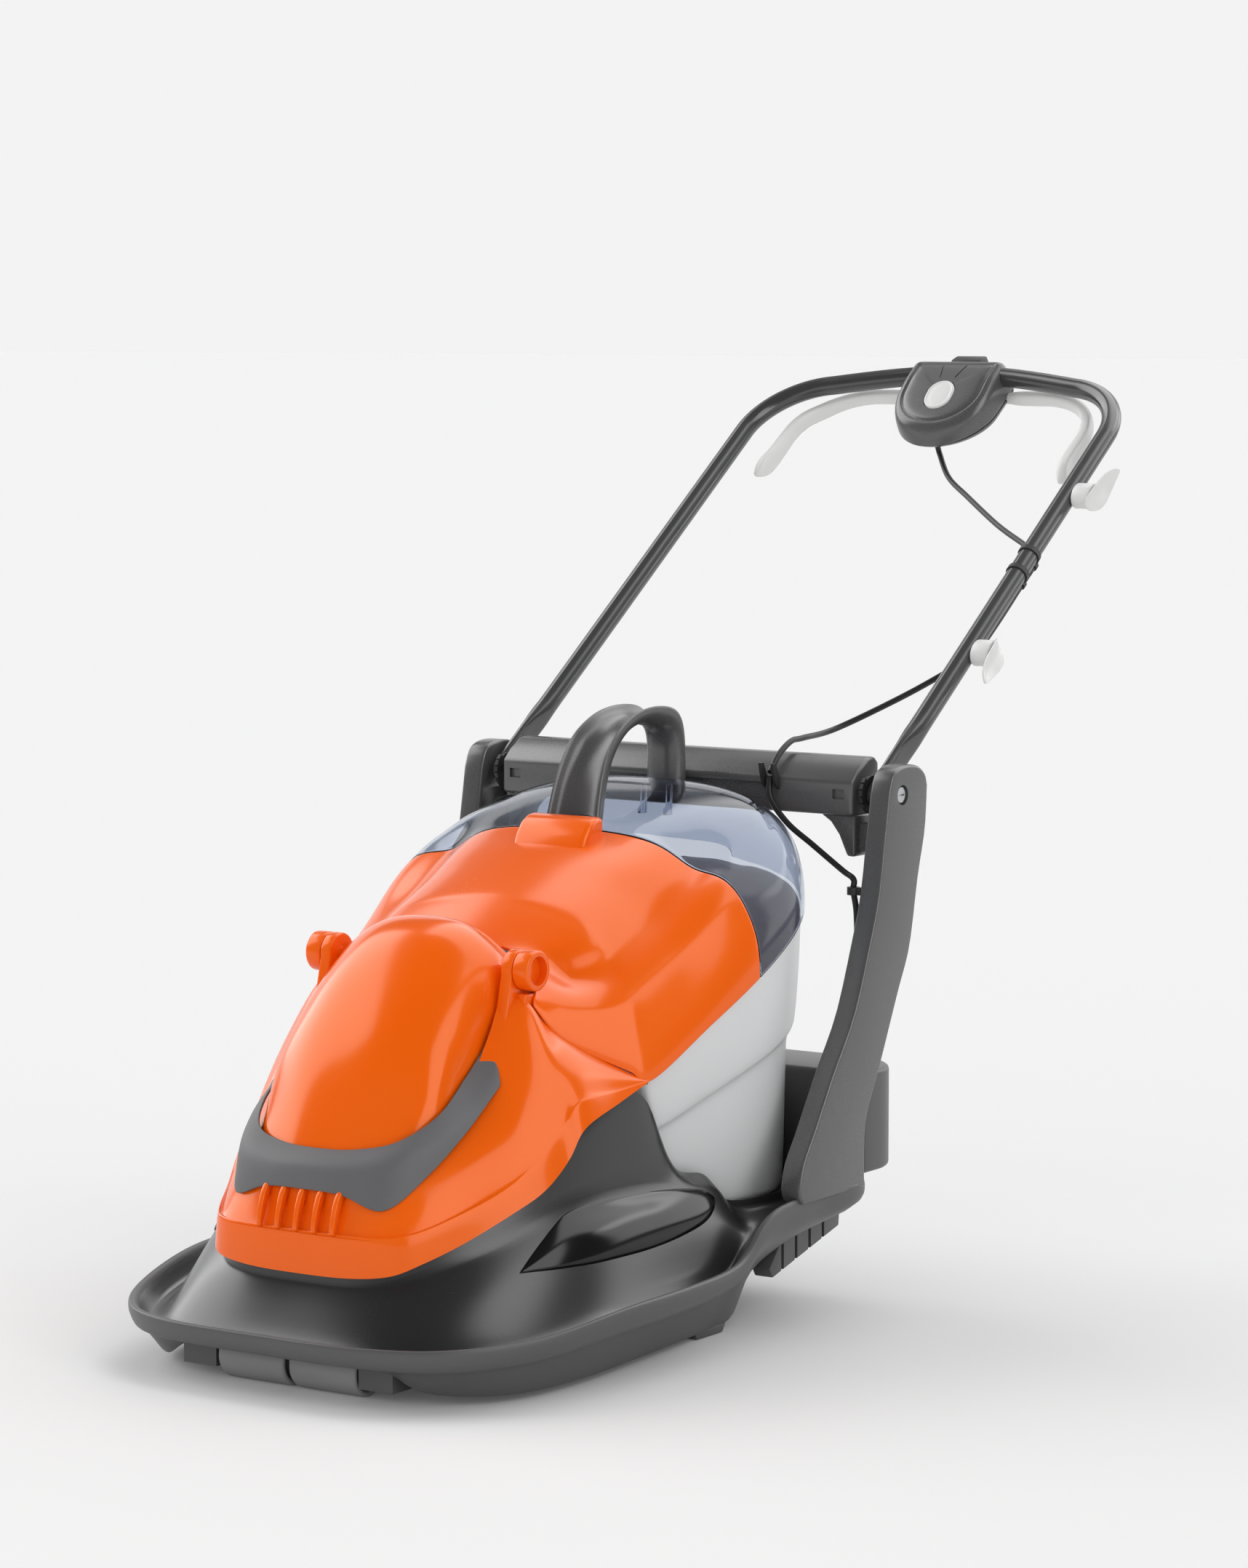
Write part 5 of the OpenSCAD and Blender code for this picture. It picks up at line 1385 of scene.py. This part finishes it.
def makeLevers():
    end = lever["s"] - lever["bend"]
    path = leverPath()
    sections = []
    for x, v, n in path:
        grow = eased((x - lever["growFrom"]) / lever["growOver"])
        wide = lever["rootWide"] + (lever["wide"] - lever["rootWide"]) * grow
        high = lever["rootHigh"] + (lever["high"] - lever["rootHigh"]) * grow
        high += lever["swell"] * eased((x - lever["swellFrom"]) / lever["swellOver"])
        if v < end:
            high = onLine(lever["paddle"], v - end)
            wide *= min(1, (high / lever["fullHigh"]) ** 0.5)
        sections.append(ovalSection(wide, high, 28, 3.0))
    right = sweptBar("rightLever", path, sections, 1)
    left = mirrored(right, "leftLever")
    finishPiece(right, "palePlastic", "right_lever", "right_lever")
    finishPiece(left, "palePlastic", "left_lever", "left_lever")


makeLevers()

# thin ties that hold the cable to the right leg
ties = {"at": (363, 395), "wide": 6, "thick": 1.4, "play": 0.4, "steps": 32}


def tieRing(s, n, d):
    r, w, thick = d / 2, ties["wide"] / 2, ties["thick"]
    middle = Vector((tube["legX"], s, n))
    rows = []
    for k in range(ties["steps"] + 1):
        a = 2 * math.pi * k / ties["steps"]
        out = Vector((math.cos(a), 0, math.sin(a)))
        section = ((-w, 0), (-w, thick), (w, thick), (w, 0), (-w, 0))
        rows.append([middle + out * (r + t) + Vector((0, v, 0)) for v, t in section])
    obj = gridPiece("cableTie", rows, onHandle)
    weld(obj)
    normalsOut(obj)
    return obj


def makeTies():
    rings = []
    for s in ties["at"]:
        rings += [tieRing(s, n, d + ties["play"]) for n, d in ((0, tube["d"]), (clipN, cable["d"]))]
    obj = gathered("cableTies", rings)
    finishPiece(obj, "motorBlack", "upper_handle", "cable_clips")


makeTies()

# cable hook: oval stub on the tube, and a pointed leaf whose rows are reach, out, half width and thickness
hook = {
    "face": 249.6, "stubD": 32, "stubFlat": 0.8, "stubOut": 270, "upper": 499, "lower": 229,
    "leafSteps": 32, "leafCup": 0.03, "leastHalf": 0.8,
    "leaf": [(-17, 267, 4, 3), (-14, 268.5, 10, 4), (-6, 270.5, 14, 5), (6, 271.5, 15, 5),
             (18, 272, 14, 4.6), (29, 274, 11.5, 4.2), (38, 277, 8, 3.8), (44, 280, 4.5, 3.2),
             (47, 281.5, 1.6, 2.4)],
}


def makeHook(name, s, way, body, node):
    turn = [2 * math.pi * k / 40 for k in range(40)]
    r = hook["stubD"] / 2
    stub = [(hook["face"], s + r * math.cos(a), r * hook["stubFlat"] * math.sin(a)) for a in turn]
    obj = outlinePiece(name, stub, (hook["stubOut"] - hook["face"], 0, 0), onHandle, 2, 3, 50)
    rows = []
    for reach, out, half, thick in smoothLine(hook["leaf"], hook["leafSteps"]):
        section = ovalSection(thick, 2 * max(half, hook["leastHalf"]), 24, 2.4)
        rows.append([Vector((out + u + hook["leafCup"] * v * v, s + way * reach, v)) for u, v in section])
    joined(obj, ringStack("hookLeaf", rows, onHandle))
    finishPiece(obj, "palePlastic", body, node)


makeHook("upperCableHook", hook["upper"], 1, "upper_cable_hook", "upper_cable_hook")
makeHook("lowerCableHook", hook["lower"], -1, "upper_handle", "lower_cable_hook")
print("handle made")

# solids that stay, with their own finish
nodeFinishes = {
    "deckCharcoal": ["roller_blocks", "grass_duct"],
    "flapRubber": ["rear_flap", "cable_gland"],
    "zincSteel": ["roller_axle", "motor_can", "stator", "motor_bearings", "motor_shaft", "blade_bolt",
                  "pivot_rods", "pivot_screws", "lever_shafts", "button_spring", "hook_screws"],
    "groundSteel": ["blade"],
    "motorBlack": ["motor_mount", "motor_end_cap", "brush_holders", "fan", "blade_spacers", "detent_plates",
                   "microswitch", "cable_eye"],
    "copperWire": ["armature", "commutator"],
    "satinOrange": ["hinge_pins"],
}
for finish, nodes in nodeFinishes.items():
    for node in nodes:
        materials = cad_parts[node].data.materials
        materials.clear()
        materials.append(finishes[finish])
print("solids finished")
